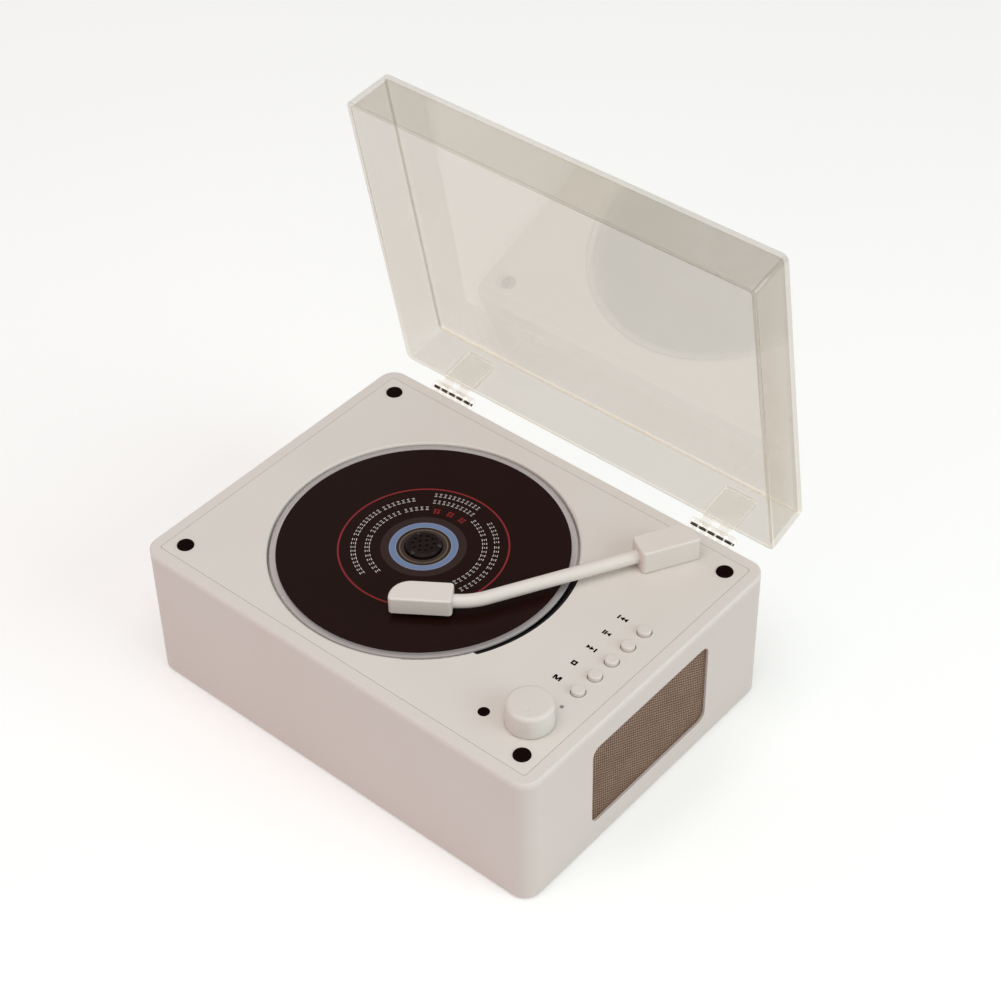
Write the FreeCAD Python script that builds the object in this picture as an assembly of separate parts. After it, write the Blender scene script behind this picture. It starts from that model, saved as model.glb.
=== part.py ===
import FreeCAD, Part
import math
import os

# Desktop compact disc player: a moulded case with a speaker in its right wall, a deck with a top-loading
# drive, a swinging arm, five buttons and a knob, and a clear hinged lid that stands open.
# Millimetres. +X is to the right, +Y to the hinges, +Z up.
# The origin is on the table, under the middle of the case.

# Shared clearances
cut_over = 1.0
level_slack = 0.001
screw_fit = 0.05
shaft_run = 0.05
seat_fit = 0.03

# Disc, and the deck around it, which give the case its size
disc_r = 60.0
disc_hole_r = 7.5
disc_t = 1.2
disc_drop = 0.6
disc_ridge_r = 17.2
disc_ridge_w = 0.6
disc_ridge_h = 0.2
disc_room = 1.0
well_left = 22.8
well_back = 13.1
controls_w = 50.2

# Speaker grille, and the wall around it, which give the case its height
grille_w = 70.0
grille_h = 40.5
grille_below = 10.35
grille_above = 11.95

# Case
case_wall = 2.5
case_corner_r = 7.0
case_edge_r = 0.8
foot_stand = 1.2
rim_w = 4.9
ledge_w = 1.5
ledge_t = 2.0
column_inset = 12.0
column_r = 4.0
column_web_t = 2.0

# Screws
screw_shank_r = 1.2
screw_head_r = 2.5
screw_head_h = 1.6
screw_chamfer = 0.5
screw_cross_w = 0.7
screw_cross_span = 2.8
screw_cross_depth = 0.8
screw_len = 9.0
small_screw_len = 5.0
screw_pass = 0.25

# Base cover and feet
base_t = 2.5
base_gap = 0.15
foot_r = 6.0
foot_sink = 1.0
foot_inset = 24.0
foot_fit = 0.05
foot_edge_r = 0.4

# Deck
deck_t = 2.5
deck_gap = 0.15
deck_corner_r = 1.2
plug_r = 3.4
plug_t = 1.4
plug_rise = 0.6
plug_fit = 0.05
plug_edge_r = 0.5
plug_wall = 1.5
plug_room = 0.3
boss_web_t = 2.0

# Disc well and the drive's window in it
well_depth = 5.0
well_wall = 2.2
well_gap = 1.3
well_floor_t = 2.0
well_lip_r = 0.9
well_root_r = 1.0
window_left = 24.0
window_front = 31.6
window_back = 30.2
notch_step = 2.1

# Disc table and its hub
table_r = 16.6
table_t = 2.0
table_collar_r = 4.5
table_collar_h = 2.6
hub_r = 7.1
hub_rise = 1.7
hub_taper = 0.9
hub_dimple_r = 0.6
hub_dimple_depth = 0.5
hub_dimple_ring_r = 4.2
hub_dimples = 10
hub_eye_ring_r = 1.9
hub_eyes = 4
grip_r_in = 11.0
grip_r_out = 13.3
grip_depth = 0.8
ball_r = 1.2
ball_proud = 0.4
balls = 3
ball_turn_share = 0.25
spindle_r = 1.0

# Drive cover, chassis and dampers
cover_sink = 0.6
cover_t = 1.6
cover_gap = 0.25
cover_lip_t = 0.9
cover_lip_drop = 0.35
cover_bore_gap = 1.6
cover_slot_gap = 0.8
cover_slot_r = 1.0
chassis_h = 12.0
chassis_wall = 2.0
chassis_floor_t = 2.0
chassis_gap = 0.5
chassis_end = 5.5
cross_wall_x = 12.8
cross_wall_h = 6.2
ear_t = 2.0
ear_reach = 5.5
ear_r = 5.4
ear_rise = 4.2
ear_left = 18.0
ear_margin = 6.8
damper_r = 4.3
damper_neck_r = 3.2
damper_lip = 1.2
drive_post_r = 3.2

# Spindle motor
spindle_motor_r = 12.0
spindle_motor_h = 6.8
spindle_motor_nose_r = 3.4
spindle_motor_nose_h = 1.2

# Pickup sled, lens and guide rods
lens_in = 24.0
lens_margin = 4.0
sled_behind = 7.5
sled_ahead = 10.5
sled_front = 18.0
sled_back = 6.2
sled_lift = 1.8
sled_h = 5.0
rod_r = 1.5
rod_front = 14.6
rod_back = 3.8
rod_z = 4.2
lens_holder_w = 8.4
lens_holder_lift = 0.8
lens_r = 2.6
lens_dome_h = 0.9
lens_gap = 2.4
lens_stem_r = 1.4
lens_stem_gap = 0.25

# Sled drive: rack, compound gear, motor pinion
tooth_module = 0.5
tooth_thin = 0.06
small_teeth = 14
large_teeth = 34
pinion_teeth = 10
addendum_share = 0.95
dedendum_share = 1.25
pressure_deg = 20.0
gear_x = 30.0
rack_back = 12.6
rack_margin = 3.0
rack_bar_w = 1.6
gear_face = 1.7
gear_step = 0.3
gear_lift = 5.2
gear_post_r = 1.2
gear_shoulder_r = 2.4
gear_float = 0.1
sled_motor_r = 7.0
sled_motor_h = 4.7
motor_shaft_r = 0.75

# Lid
lid_inset = 2.5
lid_h = 21.0
lid_wall = 2.0
lid_step_in = 0.85
lid_corner_r = 3.0
lid_edge_r = 1.0
lid_gap = 0.3
lid_open_deg = 79.5

# Hinges
hinge_inset = 30.1
hinge_back = 4.7
hinge_drop = 2.8
barrel_r = 2.9
barrel_len = 20.6
knuckles = 5
knuckle_gap = 0.3
bore_over_share = 0.33
hinge_pin_r = 0.6
hinge_run = 0.06
leaf_t = 2.0
leaf_len = 16.5
lid_leaf_w = 15.6
leaf_clear = 0.4
leaf_drop = 2.2

# Arm
arm_right = 34.4
arm_back = 20.0
arm_deg = 241.0
arm_gap = 0.3
arm_axis_h = 4.8
arm_block_back = 12.2
arm_block_front = 11.9
arm_block_w = 11.4
arm_block_h = 10.1
arm_block_round_r = 8.0
arm_corner_r = 1.4
arm_edge_r = 0.8
tube_r = 2.7
tube_run = 73.2
tube_bend_r = 28.0
tube_bend_deg = 26.0
tube_tail = 0.4
tube_socket = 4.0
head_len = 24.1
head_w = 10.7
head_h = 8.0
head_lift = 0.6
head_round_r = 8.4
pivot_r = 2.5
pivot_socket = 6.0
pivot_tail = 2.4
bush_r = 5.2
bush_h = 7.5
ring_r = 4.4
ring_t = 0.8
ring_groove = 0.6
ring_gap = 0.1

# Buttons and their switches
button_right = 15.85
buttons_behind = 22.0
button_pitch = 9.83
button_r = 2.7
button_rise = 1.8
button_gap = 0.3
button_edge_r = 0.7
button_flange_r = 3.9
button_flange_t = 1.0
button_flange_gap = 0.1
button_stem_r = 1.2
button_stem_len = 2.8
button_travel = 0.8
switch_w = 6.0
switch_h = 3.5
switch_gap = 0.7
button_names = ["previous", "play", "next", "stop", "mode"]

# Knob and its control
knob_right = 20.3
knob_front = 26.4
knob_r = 9.3
knob_top_r = 8.9
knob_h = 9.6
knob_gap = 0.4
knob_edge_r = 1.6
knob_bore_depth = 7.5
knob_mark_r = 0.8
knob_mark_at = 3.9
knob_mark_deg = 300.0
knob_mark_depth = 0.5
shaft_r = 3.0
shaft_sink = 4.0
shaft_hole_gap = 0.5
control_w = 11.0
control_h = 5.0

# Control board under the deck
board_t = 1.6
strip_w = 20.0
strip_right = 7.5
strip_before = 8.3
strip_behind = 7.9
wing_left = 5.5
wing_before = 4.7
wing_behind = 13.3
board_post_r = 2.5
board_post_inset = 3.6

# Status light and receiver window
light_right = 15.8
light_behind = 12.5
light_r = 0.75
light_base_r = 1.5
light_base_h = 3.0
light_fit = 0.05
eye_right = 36.0
eye_before = 7.2
eye_r = 2.25
eye_flange_r = 3.2
eye_flange_t = 1.0
eye_fit = 0.05
eye_sensor_w = 5.0
eye_sensor_gap = 0.2

# Speaker and grille in the right wall
grille_y = 0.0
grille_r = 4.0
grille_lip_t = 1.0
grille_lap = 2.0
grille_fit = 0.2
grille_t = 0.8
grille_pitch = 3.2
grille_hole_w = 2.3
grille_border = 1.2
grille_edge_r = 0.4
baffle_margin_w = 8.0
baffle_margin_h = 4.75
baffle_r = 3.0
baffle_t = 2.0
baffle_bead_w = 1.4
stake_inset = 3.6
stake_r = 1.5
stake_head_r = 2.4
stake_head_t = 1.0
stake_gap = 0.1
speaker_over = 0.75
speaker_flange_w = 3.0
speaker_flange_t = 1.2
basket_depth = 10.0
basket_back_r = 12.5
basket_wall = 1.0
basket_windows = 4
basket_turn_share = 0.5
basket_window_w = 11.0
cone_gap = 0.3
cone_t = 0.7
cone_depth = 5.6
roll_w = 1.7
coil_r = 5.6
coil_t = 0.5
coil_len = 3.0
dome_rise = 1.4
pole_gap = 0.5
magnet_r = 14.5
magnet_plate_r = 13.0
magnet_plate_t = 1.5
magnet_t = 6.0
pole_rise = 2.6

# Main board with the rear sockets
main_left = -62.0
main_right = 18.0
main_front = 22.0
main_back_gap = 0.6
main_post_h = 4.5
main_post_inset = 5.0
main_post_r = 2.6
chip_w = 14.0
chip_h = 1.4
cap_r = 4.0
cap_h = 10.0
inlet_x = -20.0
inlet_w = 9.0
inlet_h = 3.3
inlet_len = 8.0
inlet_shell = 0.35
inlet_tongue_w = 6.6
inlet_tongue_t = 0.7
inlet_tongue_back = 1.3
inlet_round_share = 0.45
inlet_set = 0.5
inlet_gap = 0.3
socket_x = -44.0
socket_w = 7.0
socket_h = 6.4
socket_len = 14.0
socket_nose_r = 3.0
socket_nose_len = 3.4
socket_bore_r = 1.8
socket_bore_len = 13.0
socket_set = 0.2
socket_gap = 0.25

# Sizes, levels and places that follow from the ones above
well_r = disc_r + disc_room
well_front = rim_w + ledge_w + well_wall + well_gap
case_w = well_left + 2 * well_r + controls_w
case_d = well_front + 2 * well_r + well_back
case_h = grille_below + grille_h + grille_above
well_x = -case_w / 2 + well_left + well_r
well_y = -case_d / 2 + well_front + well_r
lens_travel = disc_r - lens_in - lens_margin
chassis_right = lens_in + lens_travel + sled_ahead + chassis_end
ear_right = math.sqrt((well_r - ear_margin) ** 2 - (window_front + ear_reach) ** 2)
hinge_x = case_w / 2 - hinge_inset
arm_x = case_w / 2 - arm_right
arm_y = case_d / 2 - arm_back
knob_x = case_w / 2 - knob_right
knob_y = -case_d / 2 + knob_front
button_x = case_w / 2 - button_right
button_y = knob_y + buttons_behind + (len(button_names) - 1) * button_pitch
light_x = case_w / 2 - light_right
light_y = knob_y + light_behind
eye_x = case_w / 2 - eye_right
eye_y = knob_y - eye_before
strip_x1 = case_w / 2 - strip_right
strip_x0 = strip_x1 - strip_w
strip_y0 = knob_y - strip_before
strip_y1 = button_y + strip_behind
wing_x0 = eye_x - wing_left
wing_y0 = eye_y - wing_before
wing_y1 = eye_y + wing_behind
board_posts = [(strip_x0 + board_post_inset, strip_y1 - board_post_inset),
               (strip_x0 + board_post_inset, light_y + board_post_inset),
               (wing_x0 + board_post_inset, wing_y1 - board_post_inset)]
baffle_w = grille_w + 2 * baffle_margin_w
baffle_h = grille_h + 2 * baffle_margin_h
speaker_r = grille_h / 2 + speaker_over
speaker_open_r = speaker_r - speaker_flange_w
deck_top = foot_stand + case_h
deck_bottom = deck_top - deck_t
ledge_bottom = deck_bottom - ledge_t
base_top = foot_stand + base_t
column_x = case_w / 2 - column_inset
column_y = case_d / 2 - column_inset
wall_in = case_w / 2 - case_wall
plug_floor = deck_top - plug_t - plug_room - screw_head_h
boss_bottom = plug_floor - boss_web_t
well_floor = deck_top - well_depth
floor_bottom = well_floor - well_floor_t
notch_r = well_r + notch_step
disc_top = deck_top - disc_drop
disc_bottom = disc_top - disc_t
cover_top = well_floor - cover_sink
chassis_top = cover_top - cover_t
chassis_bottom = chassis_top - chassis_h
chassis_floor = chassis_bottom + chassis_floor_t
ear_bottom = chassis_bottom + ear_rise
damper_bottom = ear_bottom - damper_lip
damper_top = ear_bottom + ear_t + damper_lip
spindle_motor_top = chassis_floor + spindle_motor_h
rod_height = chassis_floor + rod_z
sled_bottom = chassis_floor + sled_lift
sled_top = sled_bottom + sled_h
gear_bottom = chassis_floor + gear_lift
gear_mid = gear_bottom + gear_face
rack_bottom = gear_mid + gear_step
rack_top = rack_bottom + gear_face
small_r = tooth_module * small_teeth / 2
large_r = tooth_module * large_teeth / 2
pinion_r = tooth_module * pinion_teeth / 2
rack_line = well_y + rack_back
gear_at = (well_x + gear_x, rack_line + small_r)
pinion_at = (gear_at[0] - large_r - pinion_r, gear_at[1])
lens_x = well_x + lens_in
lens_top = disc_bottom - lens_gap
lid_rim = deck_top + lid_gap
lid_y = lid_inset / 2
hinge_y = case_d / 2 + hinge_back
hinge_z = deck_top - hinge_drop
arm_bottom = deck_top + arm_gap
arm_axis = deck_top + arm_axis_h
bush_bottom = deck_bottom - bush_h
switch_top = deck_bottom - button_flange_gap - button_flange_t - button_travel - switch_gap
board_top = switch_top - switch_h
board_bottom = board_top - board_t
grille_level = foot_stand + grille_below + grille_h / 2
main_bottom = base_top + main_post_h
main_top = main_bottom + board_t
corners = [(sx, sy) for sx in (-1, 1) for sy in (-1, 1)]
half_root = math.sqrt(2) / 2


# Building blocks

def vec(x, y, z):
    return FreeCAD.Vector(x, y, z)


def block(x0, x1, y0, y1, z0, z1):
    return Part.makeBox(x1 - x0, y1 - y0, z1 - z0, vec(x0, y0, z0))


def post(x, y, z0, z1, r):
    return Part.makeCylinder(r, z1 - z0, vec(x, y, z0))


def bar_x(x0, x1, y, z, r):
    return Part.makeCylinder(r, x1 - x0, vec(x0, y, z), vec(1, 0, 0))


def bar_y(y0, y1, x, z, r):
    return Part.makeCylinder(r, y1 - y0, vec(x, y0, z), vec(0, 1, 0))


def corner_wire(x0, x1, y0, y1, radii, z):
    """Rectangle with its own radius at each corner, from the near left one, counter-clockwise."""
    places = [(x0, y0, 1, 1), (x1, y0, -1, 1), (x1, y1, -1, -1), (x0, y1, 1, -1)]
    arcs = []
    for (x, y, sx, sy), r in zip(places, radii):
        beside = vec(x + sx * r, y, z)
        above = vec(x, y + sy * r, z)
        middle = vec(x + sx * r * (1 - half_root), y + sy * r * (1 - half_root), z)
        ends = (above, beside) if sx == sy else (beside, above)
        arcs.append((ends[0], middle, ends[1]))
    edges = []
    for arc, following in zip(arcs, arcs[1:] + arcs[:1]):
        edges.append(Part.Arc(*arc).toShape())
        edges.append(Part.LineSegment(arc[2], following[0]).toShape())
    return Part.Wire(edges)


def rect_wire(w, d, r, z, x=0.0, y=0.0):
    return corner_wire(x - w / 2, x + w / 2, y - d / 2, y + d / 2, [r] * 4, z)


def prism(wire, height):
    return Part.Face(wire).extrude(vec(0, 0, height))


def slab(w, d, r, z0, z1, x=0.0, y=0.0):
    return prism(rect_wire(w, d, r, z0, x, y), z1 - z0)


def sheet_x(w, h, r, x0, x1, y, z):
    """Rounded rectangle that stands across X."""
    sheet = slab(h, w, r, x0, x1)
    sheet.rotate(vec(0, 0, 0), vec(0, 1, 0), 90)
    sheet.translate(vec(0, y, z))
    return sheet


def sheet_y(w, h, r, y0, y1, x, z):
    """Rounded rectangle that stands across Y."""
    sheet = slab(w, h, r, -y1, -y0)
    sheet.rotate(vec(0, 0, 0), vec(1, 0, 0), 90)
    sheet.translate(vec(x, 0, z))
    return sheet


def turned(outline, x=0.0, y=0.0):
    """Solid of revolution about Z from (radius, height) points."""
    wire = Part.makePolygon([vec(r, 0, z) for r, z in outline + outline[:1]])
    solid = Part.Face(wire).revolve(vec(0, 0, 0), vec(0, 0, 1), 360)
    solid.translate(vec(x, y, 0))
    return solid


def fused(shapes):
    return shapes[0].multiFuse(shapes[1:]).removeSplitter()


def less(shape, cuts):
    return shape.cut(Part.makeCompound(cuts)) if len(cuts) == 1 else shape.cut(cuts[0].multiFuse(cuts[1:]))


def on_level(shape, z):
    """Edges that lie in the level z."""
    return [e for e in shape.Edges
            if abs(e.BoundBox.ZMin - z) < level_slack and abs(e.BoundBox.ZMax - z) < level_slack]


def circles_of(shape, r, z):
    """Round edges of radius r in the level z."""
    return [e for e in on_level(shape, z)
            if isinstance(e.Curve, Part.Circle) and abs(e.Curve.Radius - r) < level_slack]


def soften(shape, r, edges):
    return shape.makeFillet(r, edges)


def screw(x, y, z, length, up):
    """Cross-head screw whose head bears on the level z; its shank runs up or down from there."""
    turn = 1 if up else -1
    outer = z - turn * screw_head_h
    tip = z + turn * length
    body = turned([(0, outer), (screw_head_r - screw_chamfer, outer),
                   (screw_head_r, outer + turn * screw_chamfer), (screw_head_r, z), (screw_shank_r, z),
                   (screw_shank_r, tip), (0, tip)], x, y)
    low, high = sorted((outer - turn * cut_over, outer + turn * screw_cross_depth))
    reach, half = screw_cross_span / 2, screw_cross_w / 2
    return less(body, [block(x - reach, x + reach, y - half, y + half, low, high),
                       block(x - half, x + half, y - reach, y + reach, low, high)])


# Case, base and feet

def case_shell():
    outer = slab(case_w, case_d, case_corner_r, foot_stand, deck_top)
    outer = soften(outer, case_edge_r, on_level(outer, deck_top))
    reach = rim_w + ledge_w
    room = slab(case_w - 2 * case_wall, case_d - 2 * case_wall, case_corner_r - case_wall,
                foot_stand - cut_over, ledge_bottom)
    mouth = slab(case_w - 2 * reach, case_d - 2 * reach, deck_corner_r, ledge_bottom - cut_over, deck_top)
    seat = slab(case_w - 2 * rim_w, case_d - 2 * rim_w, deck_corner_r, deck_bottom, deck_top + cut_over)
    shell = less(outer, [room, mouth, seat])
    shell = fused([shell] + [case_column(sx, sy) for sx, sy in corners] + speaker_stakes())
    pilots = []
    for sx, sy in corners:
        x, y = sx * column_x, sy * column_y
        pilots.append(post(x, y, boss_bottom - screw_len, boss_bottom + cut_over, screw_shank_r + screw_fit))
        pilots.append(post(x, y, base_top - cut_over, base_top + screw_len, screw_shank_r + screw_fit))
    return less(shell, pilots + grille_cuts() + rear_cuts())


def case_column(sx, sy):
    """Corner column that takes a deck screw and a base screw, webbed to both walls."""
    x, y = sx * column_x, sy * column_y
    far_x, far_y = sx * (case_w / 2 - case_wall / 2), sy * (case_d / 2 - case_wall / 2)
    half = column_web_t / 2
    parts = [post(x, y, base_top, boss_bottom, column_r),
             block(min(x, far_x), max(x, far_x), y - half, y + half, base_top, boss_bottom),
             block(x - half, x + half, min(y, far_y), max(y, far_y), base_top, boss_bottom)]
    return fused(parts)


def stake_places():
    return [(sy * (baffle_w / 2 - stake_inset) + grille_y, sz * (baffle_h / 2 - stake_inset) + grille_level)
            for sy, sz in corners]


def speaker_stakes():
    """Pins on the wall that pass through the baffle and end in formed heads."""
    back = wall_in - baffle_t - stake_gap
    stakes = []
    for y, z in stake_places():
        stakes.append(bar_x(back - stake_head_t, wall_in + case_wall / 2, y, z, stake_r))
        stakes.append(bar_x(back - stake_head_t, back, y, z, stake_head_r))
    return stakes


def grille_cuts():
    rebate_w, rebate_h = grille_w + 2 * grille_lap, grille_h + 2 * grille_lap
    opening = sheet_x(grille_w, grille_h, grille_r, wall_in - cut_over, case_w / 2 + cut_over,
                      grille_y, grille_level)
    rebate = sheet_x(rebate_w, rebate_h, grille_r + grille_lap, wall_in - cut_over, case_w / 2 - grille_lip_t,
                     grille_y, grille_level)
    return [opening, rebate]


def rear_cuts():
    """Openings for the power inlet and the audio socket."""
    slot_h = inlet_h + 2 * inlet_gap
    slot = sheet_y(inlet_w + 2 * inlet_gap, slot_h, slot_h * inlet_round_share,
                   case_d / 2 - case_wall - cut_over, case_d / 2 + cut_over, inlet_x, main_top + inlet_h / 2)
    hole = bar_y(case_d / 2 - case_wall - cut_over, case_d / 2 + cut_over, socket_x, main_top + socket_h / 2,
                 socket_nose_r + socket_gap)
    return [slot, hole]


def foot_places():
    return [(sx * (case_w / 2 - foot_inset), sy * (case_d / 2 - foot_inset)) for sx, sy in corners]


def main_post_places():
    inset = main_post_inset
    back = case_d / 2 - case_wall - main_back_gap
    across = (main_left + inset, main_right - inset)
    return [(x, y) for x in across for y in (main_front + inset, back - inset)]


def base_cover():
    inset = case_wall + base_gap
    plate = slab(case_w - 2 * inset, case_d - 2 * inset, case_corner_r - inset, foot_stand, base_top)
    plate = fused([plate] + [post(x, y, base_top, main_bottom, main_post_r) for x, y in main_post_places()])
    cuts = [post(x, y, foot_stand - cut_over, foot_stand + foot_sink, foot_r + foot_fit)
            for x, y in foot_places()]
    for sx, sy in corners:
        x, y = sx * column_x, sy * column_y
        cuts.append(post(x, y, foot_stand - cut_over, foot_stand + screw_head_h, screw_head_r + screw_pass))
        cuts.append(post(x, y, foot_stand, base_top + cut_over, screw_shank_r + screw_pass))
    for x, y in main_post_places():
        cuts.append(post(x, y, main_top - small_screw_len, main_bottom + cut_over, screw_shank_r + screw_fit))
    return less(plate, cuts)


def rubber_feet():
    feet = []
    for x, y in foot_places():
        foot = post(x, y, 0, foot_stand + foot_sink, foot_r)
        feet.append(soften(foot, foot_edge_r, on_level(foot, 0)))
    return Part.makeCompound(feet)


def base_screws():
    level = foot_stand + screw_head_h
    return Part.makeCompound([screw(sx * column_x, sy * column_y, level, screw_len, True)
                              for sx, sy in corners])


# Deck with its plugs

def drive_post_places():
    fronts = (well_y - window_front - ear_reach, well_y + window_back + ear_reach)
    return [(x, y) for x in (well_x - ear_left, well_x + ear_right) for y in fronts]


def button_places():
    return [(button_x, button_y - i * button_pitch) for i in range(len(button_names))]


def drive_window(grow, z0, z1):
    """Space of the drive's cover: a band across the well that breaks through its right side."""
    band = block(well_x - window_left - grow, well_x + notch_r + cut_over, well_y - window_front - grow,
                 well_y + window_back + grow, z0, z1)
    return band.common(post(well_x, well_y, z0, z1, notch_r + grow))


def deck_panel():
    margin = rim_w + deck_gap
    plate = slab(case_w - 2 * margin, case_d - 2 * margin, deck_corner_r, deck_bottom, deck_top)
    cup = post(well_x, well_y, floor_bottom, deck_top, well_r + well_wall)
    parts = [plate, cup, post(arm_x, arm_y, bush_bottom, deck_bottom, bush_r)]
    for sx, sy in corners:
        parts.append(post(sx * column_x, sy * column_y, boss_bottom, deck_bottom, plug_r + plug_wall))
    for x, y in drive_post_places():
        parts.append(post(x, y, damper_top, floor_bottom, drive_post_r))
    for x, y in board_posts:
        parts.append(post(x, y, board_top, deck_bottom, board_post_r))
    deck = fused(parts).cut(post(well_x, well_y, well_floor, deck_top + cut_over, well_r))
    deck = soften(deck, well_lip_r, circles_of(deck, well_r, deck_top))
    deck = soften(deck, well_root_r, circles_of(deck, well_r, well_floor))
    return less(deck, deck_cuts())


def deck_cuts():
    low, high = bush_bottom - cut_over, deck_top + cut_over
    cuts = [drive_window(0, floor_bottom - cut_over, high),
            post(arm_x, arm_y, low, high, pivot_r + shaft_run),
            post(knob_x, knob_y, low, high, shaft_r + shaft_hole_gap),
            post(light_x, light_y, low, high, light_r + light_fit),
            post(eye_x, eye_y, low, high, eye_r + eye_fit)]
    for x, y in button_places():
        cuts.append(post(x, y, low, high, button_r + button_gap))
    for sx, sy in corners:
        x, y = sx * column_x, sy * column_y
        cuts.append(post(x, y, plug_floor, high, plug_r + plug_fit))
        cuts.append(post(x, y, boss_bottom - cut_over, high, screw_shank_r + screw_pass))
    for x, y in drive_post_places():
        cuts.append(post(x, y, damper_top - cut_over, damper_bottom + screw_len, screw_shank_r + screw_fit))
    for x, y in board_posts:
        cuts.append(post(x, y, board_top - cut_over, board_bottom + small_screw_len,
                         screw_shank_r + screw_fit))
    return cuts


def screw_plugs():
    plugs = []
    for sx, sy in corners:
        plug = post(sx * column_x, sy * column_y, deck_top - plug_t, deck_top + plug_rise, plug_r)
        plugs.append(soften(plug, plug_edge_r, on_level(plug, deck_top + plug_rise)))
    return Part.makeCompound(plugs)


def deck_screws():
    return Part.makeCompound([screw(sx * column_x, sy * column_y, plug_floor, screw_len, False)
                              for sx, sy in corners])


def status_light():
    stem = post(light_x, light_y, deck_bottom, deck_top, light_r)
    return fused([stem, post(light_x, light_y, board_top, deck_bottom, light_base_r)])


def receiver_window():
    lens = post(eye_x, eye_y, deck_bottom - eye_flange_t, deck_top, eye_r)
    flange = post(eye_x, eye_y, deck_bottom - eye_flange_t, deck_bottom, eye_flange_r)
    return fused([lens, flange])


# Speaker behind its grille

def speaker_grille():
    w, h = grille_w + 2 * (grille_lap - grille_fit), grille_h + 2 * (grille_lap - grille_fit)
    front = case_w / 2 - grille_lip_t
    plate = sheet_x(w, h, grille_r + grille_lap - grille_fit, front - grille_t, front, grille_y, grille_level)
    across = int((grille_w - 2 * grille_border) / grille_pitch)
    upward = int((grille_h - 2 * grille_border) / grille_pitch)
    half = grille_hole_w / 2
    holes = []
    for i in range(across):
        for j in range(upward):
            y = grille_y + (i - (across - 1) / 2) * grille_pitch
            z = grille_level + (j - (upward - 1) / 2) * grille_pitch
            holes.append(block(front - grille_t - cut_over, front + cut_over, y - half, y + half,
                               z - half, z + half))
    return plate.cut(Part.makeCompound(holes))


def speaker_baffle():
    """Plate behind the grille, with a bead that holds the grille in its rebate."""
    back = wall_in - baffle_t
    plate = sheet_x(baffle_w, baffle_h, baffle_r, back, wall_in, grille_y, grille_level)
    bead_w, bead_h = grille_w + 2 * (grille_lap - grille_fit), grille_h + 2 * (grille_lap - grille_fit)
    bead_front = case_w / 2 - grille_lip_t - grille_t
    bead = sheet_x(bead_w, bead_h, grille_r + grille_lap - grille_fit, back, bead_front,
                   grille_y, grille_level)
    inner_r = grille_r + grille_lap - grille_fit - baffle_bead_w
    hollow = sheet_x(bead_w - 2 * baffle_bead_w, bead_h - 2 * baffle_bead_w, inner_r, wall_in,
                     bead_front + cut_over, grille_y, grille_level)
    cuts = [hollow, bar_x(back - cut_over, bead_front, grille_y, grille_level, speaker_open_r)]
    for y, z in stake_places():
        cuts.append(bar_x(back - cut_over, wall_in + cut_over, y, z, stake_r + stake_gap))
    return less(fused([plate, bead]), cuts)


def behind_baffle(shape):
    """Turns a shape built along +Z to point into the case from the back of the baffle."""
    shape.rotate(vec(0, 0, 0), vec(0, 1, 0), -90)
    shape.translate(vec(wall_in - baffle_t, grille_y, grille_level))
    return shape


def speaker_frame():
    rear = basket_depth + basket_wall
    outline = [(speaker_open_r, 0), (speaker_r, 0), (speaker_r, speaker_flange_t),
               (speaker_open_r + basket_wall, speaker_flange_t), (basket_back_r, basket_depth),
               (basket_back_r, rear), (coil_r + pole_gap, rear), (coil_r + pole_gap, basket_depth),
               (basket_back_r - basket_wall, basket_depth), (speaker_open_r, speaker_flange_t)]
    frame = turned(outline)
    half = basket_window_w / 2
    windows = []
    for i in range(basket_windows):
        window = block(basket_back_r, speaker_r + cut_over, -half, half, 2 * speaker_flange_t,
                       basket_depth - basket_wall)
        window.rotate(vec(0, 0, 0), vec(0, 0, 1), 360 / basket_windows * (i + basket_turn_share))
        windows.append(window)
    return behind_baffle(less(frame, windows))


def speaker_cone():
    """Cone, roll surround, dust dome and voice coil as one moving skin."""
    edge = speaker_open_r - cone_gap
    deep = cone_gap + cone_depth
    outline = [(edge, cone_gap), (edge, cone_gap + cone_t), (edge - roll_w, cone_gap + cone_t),
               (coil_r, deep + cone_t), (coil_r, deep + coil_len), (coil_r - coil_t, deep + coil_len),
               (coil_r - coil_t, deep + cone_t), (0, deep + cone_t - dome_rise), (0, deep - dome_rise),
               (coil_r - coil_t, deep), (edge - roll_w, cone_gap)]
    return behind_baffle(turned(outline))


def speaker_magnet():
    front = basket_depth + basket_wall
    plate_back = front + magnet_plate_t
    back = plate_back + magnet_t
    pole_r = coil_r - coil_t - pole_gap
    outline = [(0, front - pole_rise), (pole_r, front - pole_rise), (pole_r, front), (magnet_plate_r, front),
               (magnet_plate_r, plate_back), (magnet_r, plate_back), (magnet_r, back), (magnet_plate_r, back),
               (magnet_plate_r, back + magnet_plate_t), (0, back + magnet_plate_t)]
    return behind_baffle(turned(outline))


# Boards and sockets

def main_board():
    back = case_d / 2 - case_wall - main_back_gap
    plate = block(main_left, main_right, main_front, back, main_bottom, main_top)
    middle_x, middle_y = (main_left + main_right) / 2, (main_front + back) / 2
    chip = block(middle_x - chip_w / 2, middle_x + chip_w / 2, middle_y - chip_w / 2, middle_y + chip_w / 2,
                 main_top, main_top + chip_h)
    caps = [post(middle_x + side * 2 * chip_w, middle_y - chip_w / 2, main_top, main_top + cap_h, cap_r)
            for side in (-1, 1)]
    holes = [post(x, y, main_bottom - cut_over, main_top + cut_over, screw_shank_r + screw_pass)
             for x, y in main_post_places()]
    return less(fused([plate, chip] + caps), holes)


def main_board_screws():
    return Part.makeCompound([screw(x, y, main_top, small_screw_len, False) for x, y in main_post_places()])


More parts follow.
